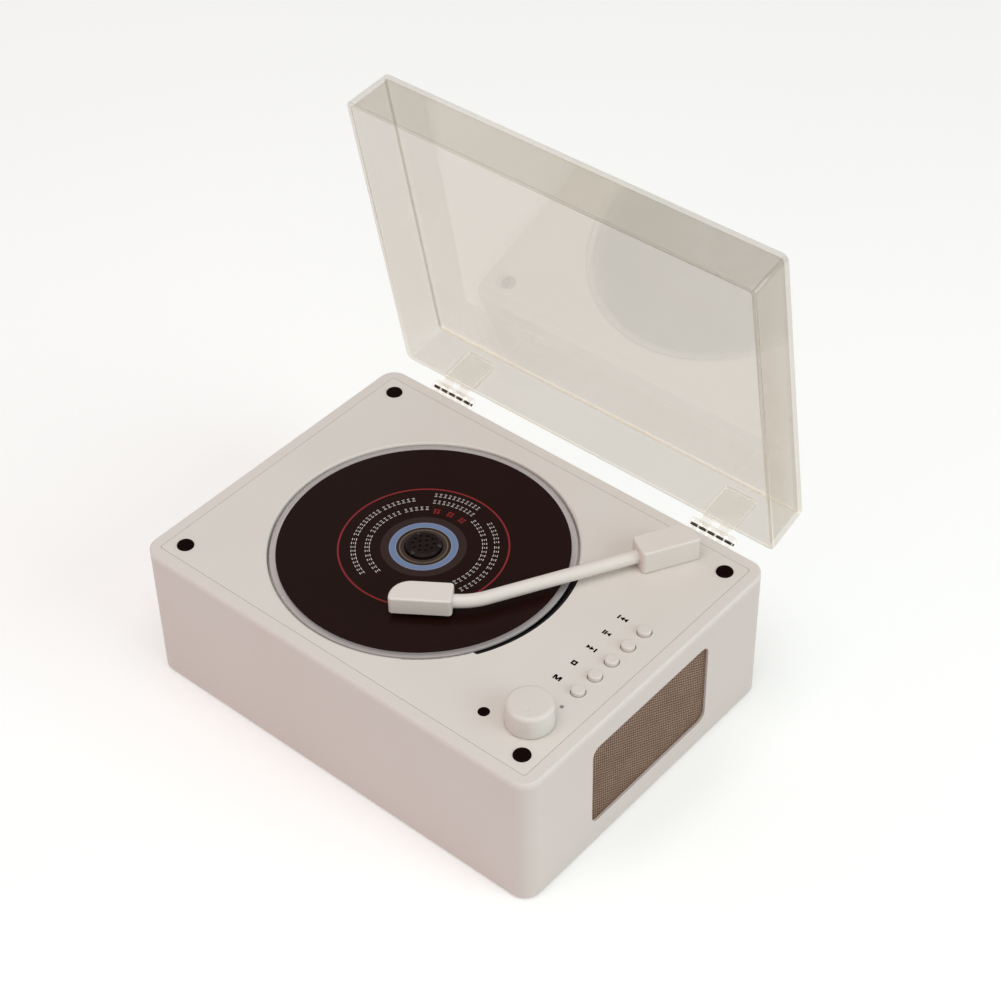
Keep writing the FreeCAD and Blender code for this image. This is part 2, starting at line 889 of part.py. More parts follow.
def power_inlet():
    """Shell and tongue of the rear power inlet."""
    front = case_d / 2 - inlet_set
    z = main_top + inlet_h / 2
    inner_w, inner_h = inlet_w - 2 * inlet_shell, inlet_h - 2 * inlet_shell
    shell = sheet_y(inlet_w, inlet_h, inlet_h * inlet_round_share, front - inlet_len, front, inlet_x, z)
    hollow = sheet_y(inner_w, inner_h, inner_h * inlet_round_share, front - inlet_len + inlet_shell,
                     front + cut_over, inlet_x, z)
    half_w, half_t = inlet_tongue_w / 2, inlet_tongue_t / 2
    tongue = block(inlet_x - half_w, inlet_x + half_w, front - inlet_len, front - inlet_tongue_back,
                   z - half_t, z + half_t)
    return fused([shell.cut(hollow), tongue])


def audio_socket():
    front = case_d / 2 - socket_set
    z = main_top + socket_h / 2
    shoulder = front - socket_nose_len
    body = block(socket_x - socket_w / 2, socket_x + socket_w / 2, front - socket_len, shoulder, main_top,
                 main_top + socket_h)
    nose = bar_y(shoulder, front, socket_x, z, socket_nose_r)
    bore = bar_y(front - socket_bore_len, front + cut_over, socket_x, z, socket_bore_r)
    return fused([body, nose]).cut(bore)


def control_board():
    strip = block(strip_x0, strip_x1, strip_y0, strip_y1, board_bottom, board_top)
    wing = block(wing_x0, strip_x0, wing_y0, wing_y1, board_bottom, board_top)
    half = eye_sensor_w / 2
    sensor = block(eye_x - half, eye_x + half, eye_y - half, eye_y + half, board_top,
                   deck_bottom - eye_flange_t - eye_sensor_gap)
    holes = [post(x, y, board_bottom - cut_over, board_top + cut_over, screw_shank_r + screw_pass)
             for x, y in board_posts]
    return less(fused([strip, wing, sensor]), holes)


def control_board_screws():
    return Part.makeCompound([screw(x, y, board_bottom, small_screw_len, True) for x, y in board_posts])


def push_switches():
    half = switch_w / 2
    switches = []
    for x, y in button_places():
        body = block(x - half, x + half, y - half, y + half, board_top, switch_top)
        bore = post(x, y, board_top + switch_gap, switch_top + cut_over, button_stem_r + shaft_run)
        switches.append(body.cut(bore))
    return Part.makeCompound(switches)


def volume_control():
    half = control_w / 2
    body = block(knob_x - half, knob_x + half, knob_y - half, knob_y + half, board_top, board_top + control_h)
    top = board_top + control_h
    return body.cut(post(knob_x, knob_y, top - shaft_sink, top + cut_over, shaft_r + shaft_run))


# Drive

def drive_cover():
    plate = drive_window(-cover_gap, chassis_top, cover_top)
    lip_top = deck_top - cover_lip_drop
    lip_in = post(well_x, well_y, chassis_top, lip_top + cut_over, notch_r - cover_gap - cover_lip_t)
    lip = drive_window(-cover_gap, cover_top, lip_top).cut(lip_in)
    lip = lip.common(block(well_x, well_x + notch_r, well_y - notch_r, well_y + notch_r, cover_top, lip_top))
    bore = post(well_x, well_y, chassis_top - cut_over, cover_top + cut_over, table_r + cover_bore_gap)
    half = lens_holder_w / 2 + cover_slot_gap
    slot_len = lens_in + lens_travel + half
    slot = slab(slot_len, 2 * half, cover_slot_r, chassis_top - cut_over, cover_top + cut_over,
                well_x + slot_len / 2, well_y)
    return fused([less(plate, [bore, slot]), lip])


def chassis_limits():
    return (well_x - window_left + chassis_gap, well_x + chassis_right,
            well_y - window_front + chassis_gap, well_y + window_back - chassis_gap)


def drive_chassis():
    x0, x1, y0, y1 = chassis_limits()
    wall = chassis_wall
    tub = block(x0, x1, y0, y1, chassis_bottom, chassis_top)
    tub = tub.cut(block(x0 + wall, x1 - wall, y0 + wall, y1 - wall, chassis_floor, chassis_top + cut_over))
    cross = well_x + cross_wall_x
    parts = [tub,
             block(cross, cross + wall, y0, well_y + sled_back, chassis_floor, chassis_floor + cross_wall_h),
             post(gear_at[0], gear_at[1], chassis_floor, gear_bottom - gear_float, gear_shoulder_r),
             post(gear_at[0], gear_at[1], chassis_floor, rack_top + gear_float, gear_post_r)]
    for x, y in drive_post_places():
        inner = y0 if y < well_y else y1
        parts.append(post(x, y, ear_bottom, ear_bottom + ear_t, ear_r))
        parts.append(block(x - ear_r, x + ear_r, min(y, inner), max(y, inner), ear_bottom, ear_bottom + ear_t))
    cuts = [post(x, y, ear_bottom - cut_over, ear_bottom + ear_t + cut_over, damper_neck_r + seat_fit)
            for x, y in drive_post_places()]
    for y in (well_y - rod_front, well_y + rod_back):
        cuts.append(bar_x(cross, x1 - wall / 2, y, rod_height, rod_r + seat_fit))
    cuts.append(block(cross + 2 * wall, x1 - 2 * wall, well_y - rod_front + 2 * rod_r,
                      well_y + rod_back - 2 * rod_r, chassis_bottom - cut_over, chassis_floor + cut_over))
    return less(fused(parts), cuts)


def drive_dampers():
    """Grooved rubber bushes that hang the chassis from the deck's posts."""
    bore = screw_shank_r + screw_pass
    outline = [(bore, damper_bottom), (damper_r, damper_bottom), (damper_r, ear_bottom),
               (damper_neck_r, ear_bottom), (damper_neck_r, ear_bottom + ear_t),
               (damper_r, ear_bottom + ear_t), (damper_r, damper_top), (bore, damper_top)]
    return Part.makeCompound([turned(outline, x, y) for x, y in drive_post_places()])


def drive_screws():
    return Part.makeCompound([screw(x, y, damper_bottom, screw_len, True) for x, y in drive_post_places()])


def spindle_motor():
    top = spindle_motor_top
    nose = top + spindle_motor_nose_h
    can = turned([(0, chassis_floor), (spindle_motor_r, chassis_floor), (spindle_motor_r, top),
                  (spindle_motor_nose_r, top), (spindle_motor_nose_r, nose), (0, nose)], well_x, well_y)
    bore_low = chassis_floor + spindle_motor_nose_h
    return can.cut(post(well_x, well_y, bore_low, nose + cut_over, spindle_r + shaft_run))


def spindle_shaft():
    return post(well_x, well_y, chassis_floor + 2 * spindle_motor_nose_h, disc_bottom, spindle_r)


def guide_rods():
    cross = well_x + cross_wall_x
    end = well_x + chassis_right - chassis_wall / 2
    return Part.makeCompound([bar_x(cross, end, y, rod_height, rod_r)
                              for y in (well_y - rod_front, well_y + rod_back)])


def sled_motor():
    x, y = pinion_at
    can = post(x, y, chassis_floor, chassis_floor + sled_motor_h, sled_motor_r)
    return can.cut(post(x, y, chassis_floor + sled_motor_h / 2, chassis_floor + sled_motor_h + cut_over,
                        motor_shaft_r + shaft_run))


def pickup_sled():
    x0, x1 = lens_x - sled_behind, lens_x + sled_ahead
    body = block(x0, x1, well_y - sled_front, well_y + sled_back, sled_bottom, sled_top)
    tip = rack_line - dedendum_share * tooth_module
    rack_x0 = gear_at[0] - lens_travel - rack_margin
    rack_x1 = gear_at[0] + rack_margin
    bar = block(rack_x0, rack_x1, tip - rack_bar_w, tip, rack_bottom, rack_top)
    arm = block(x0, x1, well_y + sled_back - rack_bar_w, tip, rack_bottom, rack_top)
    riser = block(x0, x1, well_y + sled_back - rack_bar_w, well_y + sled_back, sled_top, rack_bottom)
    sled = fused([body, riser, arm, bar] + rack_teeth(rack_x0, rack_x1))
    cuts = [bar_x(x0 - cut_over, x1 + cut_over, y, rod_height, rod_r + shaft_run)
            for y in (well_y - rod_front, well_y + rod_back)]
    cuts.append(post(lens_x, well_y, sled_bottom - cut_over, sled_top + cut_over, lens_stem_r + lens_stem_gap))
    return less(sled, cuts)


def rack_teeth(x0, x1):
    """Straight-flanked teeth on the back of the rack bar, one of them facing the gear at rest."""
    pitch = math.pi * tooth_module
    lean = math.tan(math.radians(pressure_deg))
    high, low = addendum_share * tooth_module, dedendum_share * tooth_module
    half = pitch / 4 - tooth_thin / 2
    teeth = []
    first = math.ceil((x0 - gear_at[0]) / pitch + 0.5)
    last = math.floor((x1 - gear_at[0]) / pitch - 0.5)
    for i in range(first, last + 1):
        x = gear_at[0] + i * pitch
        points = [vec(x - half - lean * low, rack_line - low, rack_bottom),
                  vec(x + half + lean * low, rack_line - low, rack_bottom),
                  vec(x + half - lean * high, rack_line + high, rack_bottom),
                  vec(x - half + lean * high, rack_line + high, rack_bottom)]
        teeth.append(prism(Part.makePolygon(points + points[:1]), rack_top - rack_bottom))
    return teeth


def involute(a):
    return math.tan(a) - a


def gear_wire(teeth, first_deg, z):
    """Outline of a spur gear about the origin, with the middle of one tooth at first_deg."""
    pitch_r = tooth_module * teeth / 2
    tip_r = pitch_r + addendum_share * tooth_module
    root_r = pitch_r - dedendum_share * tooth_module
    base_r = pitch_r * math.cos(math.radians(pressure_deg))
    start_r = max(base_r, root_r)
    pitch_half = (math.pi * tooth_module / 2 - tooth_thin) / 2 / pitch_r
    foot = pitch_half + involute(math.radians(pressure_deg))

    def at(r, angle):
        return vec(r * math.cos(angle), r * math.sin(angle), z)

    def half_angle(r):
        return foot - involute(math.acos(min(1, base_r / r)))

    step = 2 * math.pi / teeth
    middle_r = (start_r + tip_r) / 2
    edges = []
    for i in range(teeth):
        a = math.radians(first_deg) + i * step
        rise = [at(r, a - half_angle(r)) for r in (start_r, middle_r, tip_r)]
        fall = [at(r, a + half_angle(r)) for r in (tip_r, middle_r, start_r)]
        root_in = at(root_r, a - half_angle(start_r))
        root_out = at(root_r, a + half_angle(start_r))
        root_next = at(root_r, a + step - half_angle(start_r))
        if start_r > root_r:
            edges.append(Part.LineSegment(root_in, rise[0]).toShape())
        edges.append(Part.Arc(*rise).toShape())
        edges.append(Part.Arc(rise[2], at(tip_r, a), fall[0]).toShape())
        edges.append(Part.Arc(*fall).toShape())
        if start_r > root_r:
            edges.append(Part.LineSegment(fall[2], root_out).toShape())
        edges.append(Part.Arc(root_out, at(root_r, a + step / 2), root_next).toShape())
    return Part.Wire(edges)


def drive_gear():
    """Large wheel on the motor pinion, with the small wheel above it on the rack."""
    large = prism(gear_wire(large_teeth, 180, gear_bottom), gear_face)
    small = prism(gear_wire(small_teeth, -90 + 180 / small_teeth, gear_mid), rack_top - gear_mid)
    bore = post(0, 0, gear_bottom - cut_over, rack_top + cut_over, gear_post_r + shaft_run)
    gear = fused([large, small]).cut(bore)
    gear.translate(vec(gear_at[0], gear_at[1], 0))
    return gear


def motor_pinion():
    pinion = prism(gear_wire(pinion_teeth, 180 / pinion_teeth, gear_bottom), gear_face)
    shaft = post(0, 0, chassis_floor + sled_motor_h / 2 + gear_float, gear_bottom, motor_shaft_r)
    whole = fused([pinion, shaft])
    whole.translate(vec(pinion_at[0], pinion_at[1], 0))
    return whole


def pickup_lens():
    half = lens_holder_w / 2
    bottom = sled_top + lens_holder_lift
    holder_top = lens_top - lens_dome_h
    holder = slab(lens_holder_w, lens_holder_w, lens_dome_h, bottom, holder_top, lens_x, well_y)
    stem = post(lens_x, well_y, sled_bottom + lens_holder_lift, bottom, lens_stem_r)
    sphere_r = (lens_r ** 2 + lens_dome_h ** 2) / (2 * lens_dome_h)
    dome = Part.makeSphere(sphere_r, vec(lens_x, well_y, lens_top - sphere_r))
    dome = dome.common(block(lens_x - half, lens_x + half, well_y - half, well_y + half, holder_top, lens_top))
    return fused([holder, stem, dome])


# Disc table and disc

def disc_table():
    low = disc_bottom - table_t
    top = disc_top + hub_rise
    table = turned([(0, low - table_collar_h), (table_collar_r, low - table_collar_h), (table_collar_r, low),
                    (table_r, low), (table_r, disc_bottom), (hub_r, disc_bottom),
                    (hub_r, disc_top + hub_taper), (hub_r - hub_taper, top), (0, top)], well_x, well_y)
    cuts = [post(well_x, well_y, low - table_collar_h - cut_over, disc_bottom, spindle_r + seat_fit)]
    groove = post(well_x, well_y, disc_bottom - grip_depth, disc_bottom + cut_over, grip_r_out + seat_fit)
    cuts.append(groove.cut(post(well_x, well_y, low, disc_top + hub_rise, grip_r_in - seat_fit)))
    for count, ring_r in [(hub_dimples, hub_dimple_ring_r), (hub_eyes, hub_eye_ring_r)]:
        for i in range(count):
            a = 2 * math.pi * i / count
            x, y = well_x + ring_r * math.cos(a), well_y + ring_r * math.sin(a)
            cuts.append(post(x, y, top - hub_dimple_depth, top + cut_over, hub_dimple_r))
    for x, y, z in ball_places():
        cuts.append(Part.makeSphere(ball_r + seat_fit, vec(x, y, z)))
    return less(table, cuts)


def ball_places():
    reach = hub_r + ball_proud - ball_r
    turns = [2 * math.pi * (i + ball_turn_share) / balls for i in range(balls)]
    return [(well_x + reach * math.cos(a), well_y + reach * math.sin(a), disc_top + hub_taper) for a in turns]


def catch_balls():
    """Sprung balls of the hub that hold the disc down."""
    return Part.makeCompound([Part.makeSphere(ball_r, vec(x, y, z)) for x, y, z in ball_places()])


def grip_ring():
    ring = post(well_x, well_y, disc_bottom - grip_depth, disc_bottom, grip_r_out)
    low = disc_bottom - grip_depth - cut_over
    return ring.cut(post(well_x, well_y, low, disc_bottom + cut_over, grip_r_in))


def compact_disc():
    low = disc_bottom - disc_ridge_h
    return turned([(disc_hole_r, disc_bottom), (disc_ridge_r, disc_bottom), (disc_ridge_r, low),
                   (disc_ridge_r + disc_ridge_w, low), (disc_ridge_r + disc_ridge_w, disc_bottom),
                   (disc_r, disc_bottom), (disc_r, disc_top), (disc_hole_r, disc_top)], well_x, well_y)


# Lid and hinges

def opened(shape):
    """Swings a shape of the closed lid up to the pose it stands in."""
    shape.rotate(vec(0, hinge_y, hinge_z), vec(1, 0, 0), -lid_open_deg)
    return shape


def lid_cover():
    w, d = case_w - 2 * lid_inset, case_d - lid_inset
    top = lid_rim + lid_h
    lower = rect_wire(w, d, lid_corner_r, lid_rim, 0, lid_y)
    upper = rect_wire(w - 2 * lid_step_in, d - 2 * lid_step_in, lid_corner_r - lid_step_in, top, 0, lid_y)
    outer = Part.makeLoft([lower, upper], True, True)
    outer = soften(outer, lid_edge_r, on_level(outer, top))
    ceiling = top - lid_wall
    lean = lid_step_in * (lid_h - lid_wall) / lid_h
    inner_r = lid_corner_r - lid_wall * half_root
    mouth = rect_wire(w - 2 * lid_wall, d - 2 * lid_wall, inner_r, lid_rim, 0, lid_y)
    roof = rect_wire(w - 2 * lid_wall - 2 * lean, d - 2 * lid_wall - 2 * lean, inner_r - lean, ceiling,
                     0, lid_y)
    return opened(outer.cut(Part.makeLoft([mouth, roof], True, True)))


def knuckle_spans(kept):
    pitch = barrel_len / knuckles
    starts = [-barrel_len / 2 + i * pitch for i in range(knuckles) if i % 2 == kept]
    return [(x + knuckle_gap / 2, x + pitch - knuckle_gap / 2) for x in starts]


def cross_prism(points, x0, x1):
    """Prism along X from a (y, z) outline."""
    wire = Part.makePolygon([vec(x0, y, z) for y, z in points + points[:1]])
    return Part.Face(wire).extrude(vec(x1 - x0, 0, 0))


def hinge_leaf(plate, web, half, kept, bore_r, side):
    """Plate with its knuckles; every second knuckle of the barrel belongs to each leaf."""
    parts = [cross_prism(plate, -half, half)]
    bores = []
    for x0, x1 in knuckle_spans(kept):
        parts.append(cross_prism(web, x0, x1))
        parts.append(bar_x(x0, x1, hinge_y, hinge_z, barrel_r))
        over = bore_over_share * knuckle_gap
        bores.append(bar_x(x0 - over, x1 + over, hinge_y, hinge_z, bore_r))
    leaf = less(fused(parts), bores)
    leaf.translate(vec(side * hinge_x, 0, 0))
    return leaf


def lid_leaf(side):
    back = case_d / 2
    low, high = lid_rim + leaf_clear, lid_rim + leaf_clear + leaf_len
    lean = lid_step_in / lid_h
    plate = [(back - lean * leaf_clear, low), (back - lean * (high - lid_rim), high),
             (back - lean * (high - lid_rim) + leaf_t, high), (back + leaf_t, low)]
    web = [(back + leaf_clear, low), (back + leaf_clear, hinge_z), (hinge_y, hinge_z),
           (hinge_y, hinge_z + barrel_r), (back + leaf_t - lean * leaf_t, low + leaf_t)]
    return opened(hinge_leaf(plate, web, lid_leaf_w / 2, 1, hinge_pin_r + hinge_run, side))


def base_leaf(side):
    back = case_d / 2
    high = hinge_z - leaf_drop
    plate = [(back, high - leaf_len), (back, high), (back + leaf_t, high), (back + leaf_t, high - leaf_len)]
    web = [(back, high - leaf_t), (back, hinge_z), (hinge_y, hinge_z), (hinge_y, hinge_z - barrel_r),
           (back + leaf_t, high - leaf_t)]
    return hinge_leaf(plate, web, barrel_len / 2, 0, hinge_pin_r + seat_fit, side)


def hinge_pin(side):
    middle = side * hinge_x
    return bar_x(middle - barrel_len / 2, middle + barrel_len / 2, hinge_y, hinge_z, hinge_pin_r)


# Arm

def swung(shape):
    """Places a shape built along +X from the pivot at the arm's resting angle."""
    shape.rotate(vec(0, 0, 0), vec(0, 0, 1), arm_deg)
    shape.translate(vec(arm_x, arm_y, 0))
    return shape


def arm_block():
    half = arm_block_w / 2
    radii = [arm_block_round_r, arm_corner_r, arm_corner_r, arm_corner_r]
    top = arm_bottom + arm_block_h
    body = prism(corner_wire(-arm_block_back, arm_block_front, -half, half, radii, arm_bottom), arm_block_h)
    body = soften(body, arm_edge_r, on_level(body, top))
    cuts = [bar_x(arm_block_front - tube_socket, arm_block_front + cut_over, 0, arm_axis, tube_r + seat_fit),
            post(0, 0, arm_bottom - cut_over, arm_bottom + pivot_socket, pivot_r + seat_fit)]
    return swung(less(body, cuts))


def tube_end():
    """Where the bent tube meets the head, with its direction, in the arm's own plane."""
    turn = math.radians(tube_bend_deg)
    x = tube_run + tube_bend_r * math.sin(turn) + tube_tail * math.cos(turn)
    y = -tube_bend_r * (1 - math.cos(turn)) - tube_tail * math.sin(turn)
    return x, y, turn


def arm_tube():
    end_x, end_y, turn = tube_end()
    start = vec(arm_block_front - tube_socket, 0, arm_axis)
    bend_in = vec(tube_run, 0, arm_axis)
    middle = vec(tube_run + tube_bend_r * math.sin(turn / 2), -tube_bend_r * (1 - math.cos(turn / 2)),
                 arm_axis)
    bend_out = vec(tube_run + tube_bend_r * math.sin(turn), -tube_bend_r * (1 - math.cos(turn)), arm_axis)
    end = vec(end_x + tube_socket * math.cos(turn), end_y - tube_socket * math.sin(turn), arm_axis)
    path = Part.Wire([Part.LineSegment(start, bend_in).toShape(),
                      Part.Arc(bend_in, middle, bend_out).toShape(),
                      Part.LineSegment(bend_out, end).toShape()])
    ring = Part.Wire(Part.makeCircle(tube_r, start, vec(1, 0, 0)))
    return swung(path.makePipeShell([ring], True, False))


def arm_head():
    end_x, end_y, turn = tube_end()
    half = head_w / 2
    low = arm_axis + head_lift - head_h / 2
    radii = [arm_corner_r, head_round_r, arm_corner_r, arm_corner_r]
    head = prism(corner_wire(0, head_len, -half, half, radii, low), head_h)
    head = soften(head, arm_edge_r, on_level(head, low) + on_level(head, low + head_h))
    head = head.cut(bar_x(-cut_over, tube_socket, 0, arm_axis, tube_r + seat_fit))
    head.rotate(vec(0, 0, 0), vec(0, 0, 1), -tube_bend_deg)
    head.translate(vec(end_x, end_y, 0))
    return swung(head)


def arm_pivot_pin():
    ring_top = bush_bottom - ring_gap
    pin = post(0, 0, ring_top - ring_t - pivot_tail, arm_bottom + pivot_socket, pivot_r)
    groove = post(0, 0, ring_top - ring_t, ring_top, pivot_r + cut_over)
    return swung(pin.cut(groove.cut(post(0, 0, ring_top - ring_t, ring_top, pivot_r - ring_groove))))


def arm_retaining_ring():
    ring_top = bush_bottom - ring_gap
    ring = post(0, 0, ring_top - ring_t, ring_top, ring_r)
    bore_r = pivot_r - ring_groove + seat_fit
    return swung(ring.cut(post(0, 0, ring_top - ring_t - cut_over, ring_top + cut_over, bore_r)))


# Buttons and knob

def button(x, y):
    flange_top = deck_bottom - button_flange_gap
    flange_low = flange_top - button_flange_t
    cap = post(x, y, flange_low, deck_top + button_rise, button_r)
    cap = soften(cap, button_edge_r, on_level(cap, deck_top + button_rise))
    return fused([cap, post(x, y, flange_low, flange_top, button_flange_r),
                  post(x, y, flange_low - button_stem_len, flange_low, button_stem_r)])


def volume_knob():
    low = deck_top + knob_gap
    top = low + knob_h
    knob = turned([(0, low), (knob_r, low), (knob_top_r, top), (0, top)], knob_x, knob_y)
    knob = soften(knob, knob_edge_r, on_level(knob, top))
    a = math.radians(knob_mark_deg)
    mark_x, mark_y = knob_x + knob_mark_at * math.cos(a), knob_y + knob_mark_at * math.sin(a)
    bore = post(knob_x, knob_y, low - cut_over, low + knob_bore_depth, shaft_r + seat_fit)
    mark = Part.makeSphere(knob_mark_r, vec(mark_x, mark_y, top + knob_mark_r - knob_mark_depth))
    return less(knob, [bore, mark])


def volume_shaft():
    return post(knob_x, knob_y, board_top + control_h - shaft_sink + shaft_run,
                deck_top + knob_gap + knob_bore_depth, shaft_r)


# Writing the pieces

def pieces():
    made = {}
    for make in (case_shell, deck_panel, base_cover, rubber_feet, deck_screws, screw_plugs, base_screws,
                 speaker_grille, speaker_baffle, speaker_frame, speaker_cone, speaker_magnet,
                 main_board, main_board_screws, power_inlet, audio_socket,
                 control_board, control_board_screws, push_switches, volume_control, status_light,
                 receiver_window, drive_cover, drive_chassis, drive_dampers, drive_screws, spindle_motor,
                 guide_rods, sled_motor,
                 lid_cover, arm_block, arm_tube, arm_head, arm_pivot_pin, arm_retaining_ring,
                 volume_knob, volume_shaft, disc_table, grip_ring, catch_balls, spindle_shaft, compact_disc,
                 pickup_sled, pickup_lens, drive_gear, motor_pinion):
        made[make.__name__] = make()
    for name, side in (("left", -1), ("right", 1)):
        made[name + "_lid_leaf"] = lid_leaf(side)
        made[name + "_base_leaf"] = base_leaf(side)
        made[name + "_hinge_pin"] = hinge_pin(side)
    for name, (x, y) in zip(button_names, button_places()):
        made[name + "_button"] = button(x, y)
    return made


os.makedirs("parts", exist_ok=True)
for node, shape in pieces().items():
    shape.exportStep("parts/" + node + ".step")
    state = "valid" if shape.isValid() else "INVALID"
    print(node, len(shape.Solids), "solids", round(shape.Volume, 1), "mm3", state)
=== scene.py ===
import bmesh
import bpy
import math
from mathutils import Matrix, Vector


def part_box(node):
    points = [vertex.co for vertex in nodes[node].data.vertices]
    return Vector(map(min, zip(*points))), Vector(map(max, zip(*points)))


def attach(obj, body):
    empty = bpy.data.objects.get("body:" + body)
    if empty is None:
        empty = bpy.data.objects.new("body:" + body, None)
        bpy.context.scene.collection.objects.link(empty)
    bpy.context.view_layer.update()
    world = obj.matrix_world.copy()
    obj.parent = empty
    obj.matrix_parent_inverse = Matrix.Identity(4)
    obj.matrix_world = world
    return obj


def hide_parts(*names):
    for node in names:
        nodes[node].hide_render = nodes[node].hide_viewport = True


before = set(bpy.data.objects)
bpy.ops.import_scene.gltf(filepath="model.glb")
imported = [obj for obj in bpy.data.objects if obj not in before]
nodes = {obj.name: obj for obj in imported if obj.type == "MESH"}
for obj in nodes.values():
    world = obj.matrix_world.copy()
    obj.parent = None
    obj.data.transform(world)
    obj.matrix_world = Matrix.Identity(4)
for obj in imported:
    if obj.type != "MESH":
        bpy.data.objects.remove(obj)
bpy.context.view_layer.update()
mm = 0.001
sharpAngle = math.radians(38)    # edges steeper than this stay sharp
inkSink = 0.01    # print starts this far under its surface, mm
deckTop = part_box("deck_panel")[1][2]
print("frame loaded,", len(nodes), "nodes")


# camera at the photograph's angle
cameraSetup = {
    "place": (0.4391515, -0.4744195, 0.6764738),
    "right": (0.76241453, 0.64690444, -0.01545063),
    "down": (0.42464238, -0.51819707, -0.74239521),
    "ahead": (-0.48826523, 0.5594519, -0.66978402),
    "lens": 82.82,
    "sensor": 36.0,
    "near": 0.02,
}


def placeCamera(setup):
    data = bpy.data.cameras.new("studioCamera")
    data.sensor_width = setup["sensor"]
    data.lens = setup["lens"]
    data.clip_start = setup["near"]
    camera = bpy.data.objects.new("studioCamera", data)
    turn = Matrix([setup["right"], [-v for v in setup["down"]], [-v for v in setup["ahead"]]]).transposed()
    camera.matrix_world = Matrix.Translation(setup["place"]) @ turn.to_4x4()
    bpy.context.collection.objects.link(camera)
    bpy.context.scene.camera = camera


placeCamera(cameraSetup)
bpy.context.scene.view_settings.view_transform = "Standard"
print("camera placed")


# colours are picker values from 0 to 255
def paint(red, green, blue):
    line = [v / 255 for v in (red, green, blue)]
    return tuple(v / 12.92 if v < 0.04 else ((v + 0.055) / 1.055) ** 2.4 for v in line) + (1.0,)


def startFinish(name):
    finish = bpy.data.materials.new(name)
    finish.use_nodes = True
    tree = finish.node_tree
    coords = tree.nodes.new("ShaderNodeTexCoord").outputs["Object"]
    return finish, tree, tree.nodes["Principled BSDF"], coords


def speckle(tree, coords, scale, detail=3.0):
    noise = tree.nodes.new("ShaderNodeTexNoise")
    noise.inputs["Scale"].default_value = scale
    noise.inputs["Detail"].default_value = detail
    tree.links.new(coords, noise.inputs["Vector"])
    return noise.outputs["Fac"]


def moved(tree, coords, place=(0, 0, 0), scale=(1, 1, 1)):    # scale, then place
    mapping = tree.nodes.new("ShaderNodeMapping")
    mapping.inputs["Location"].default_value = place
    mapping.inputs["Scale"].default_value = scale
    tree.links.new(coords, mapping.inputs["Vector"])
    return mapping.outputs["Vector"]


def shades(tree, factor, stops, stepped=False):
    ramp = tree.nodes.new("ShaderNodeValToRGB")
    row = ramp.color_ramp
    row.interpolation = "CONSTANT" if stepped else "LINEAR"
    row.elements.remove(row.elements[1])
    row.elements[0].position, row.elements[0].color = stops[0]
    for at, colour in stops[1:]:
        row.elements.new(at).color = colour
    tree.links.new(factor, ramp.inputs["Fac"])
    return ramp.outputs["Color"]


def between(tree, factor, low, high, fromLow=0.3, fromHigh=0.7):
    span = tree.nodes.new("ShaderNodeMapRange")
    for socket, value in (("From Min", fromLow), ("From Max", fromHigh), ("To Min", low), ("To Max", high)):
        span.inputs[socket].default_value = value
    tree.links.new(factor, span.inputs["Value"])
    return span.outputs["Result"]


def relief(tree, shader, height, depth, strength=1.0):
    bump = tree.nodes.new("ShaderNodeBump")
    bump.inputs["Strength"].default_value = strength
    bump.inputs["Distance"].default_value = depth
    tree.links.new(height, bump.inputs["Height"])
    tree.links.new(bump.outputs["Normal"], shader.inputs["Normal"])


def moulded(name, look):
    finish, tree, shader, coords = startFinish(name)
    patch = speckle(tree, coords, look["patch"])
    grain = speckle(tree, coords, look["grain"], 2.0)
    colour = shades(tree, patch, [(0.3, look["deep"]), (0.7, look["pale"])])
    tree.links.new(colour, shader.inputs["Base Color"])
    tree.links.new(between(tree, grain, *look["rough"]), shader.inputs["Roughness"])
    shader.inputs["Specular IOR Level"].default_value = look["shine"]
    relief(tree, shader, grain, look["depth"], 0.6)
    return finish


def brushed(name, look):
    finish, tree, shader, coords = startFinish(name)
    lines = speckle(tree, moved(tree, coords, scale=look["stretch"]), look["grain"], 2.0)
    patch = speckle(tree, coords, look["patch"])
    colour = shades(tree, patch, [(0.3, look["deep"]), (0.7, look["pale"])])
    tree.links.new(colour, shader.inputs["Base Color"])
    tree.links.new(between(tree, lines, *look["rough"]), shader.inputs["Roughness"])
    shader.inputs["Metallic"].default_value = look["metal"]
    relief(tree, shader, lines, look["depth"], 0.5)
    return finish


def dress(finish, *names):
    for name in names:
        for part in nodes[name].material_slots:
            part.material = finish


# a finished piece: its mesh, its finish, the body it moves with and the nodes it stands for
def keepPiece(name, bm, finish, body, stands=(), flatOver=None):
    mesh = bpy.data.meshes.new(name)
    bm.to_mesh(mesh)
    bm.free()
    mesh.materials.append(finish)
    for face in mesh.polygons:
        face.use_smooth = flatOver is None or face.area < flatOver
    mesh.set_sharp_from_angle(angle=sharpAngle)
    piece = bpy.data.objects.new(name, mesh)
    bpy.context.collection.objects.link(piece)
    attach(piece, body)
    if stands:
        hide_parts(*stands)
    return piece


def toMetres(bm):
    bmesh.ops.scale(bm, vec=(mm, mm, mm), verts=bm.verts)


def pulled(bm, faces, vec):    # faces drawn out to a solid
    drawn = bmesh.ops.extrude_face_region(bm, geom=faces)["geom"]
    bmesh.ops.translate(bm, vec=vec, verts=[v for v in drawn if isinstance(v, bmesh.types.BMVert)])


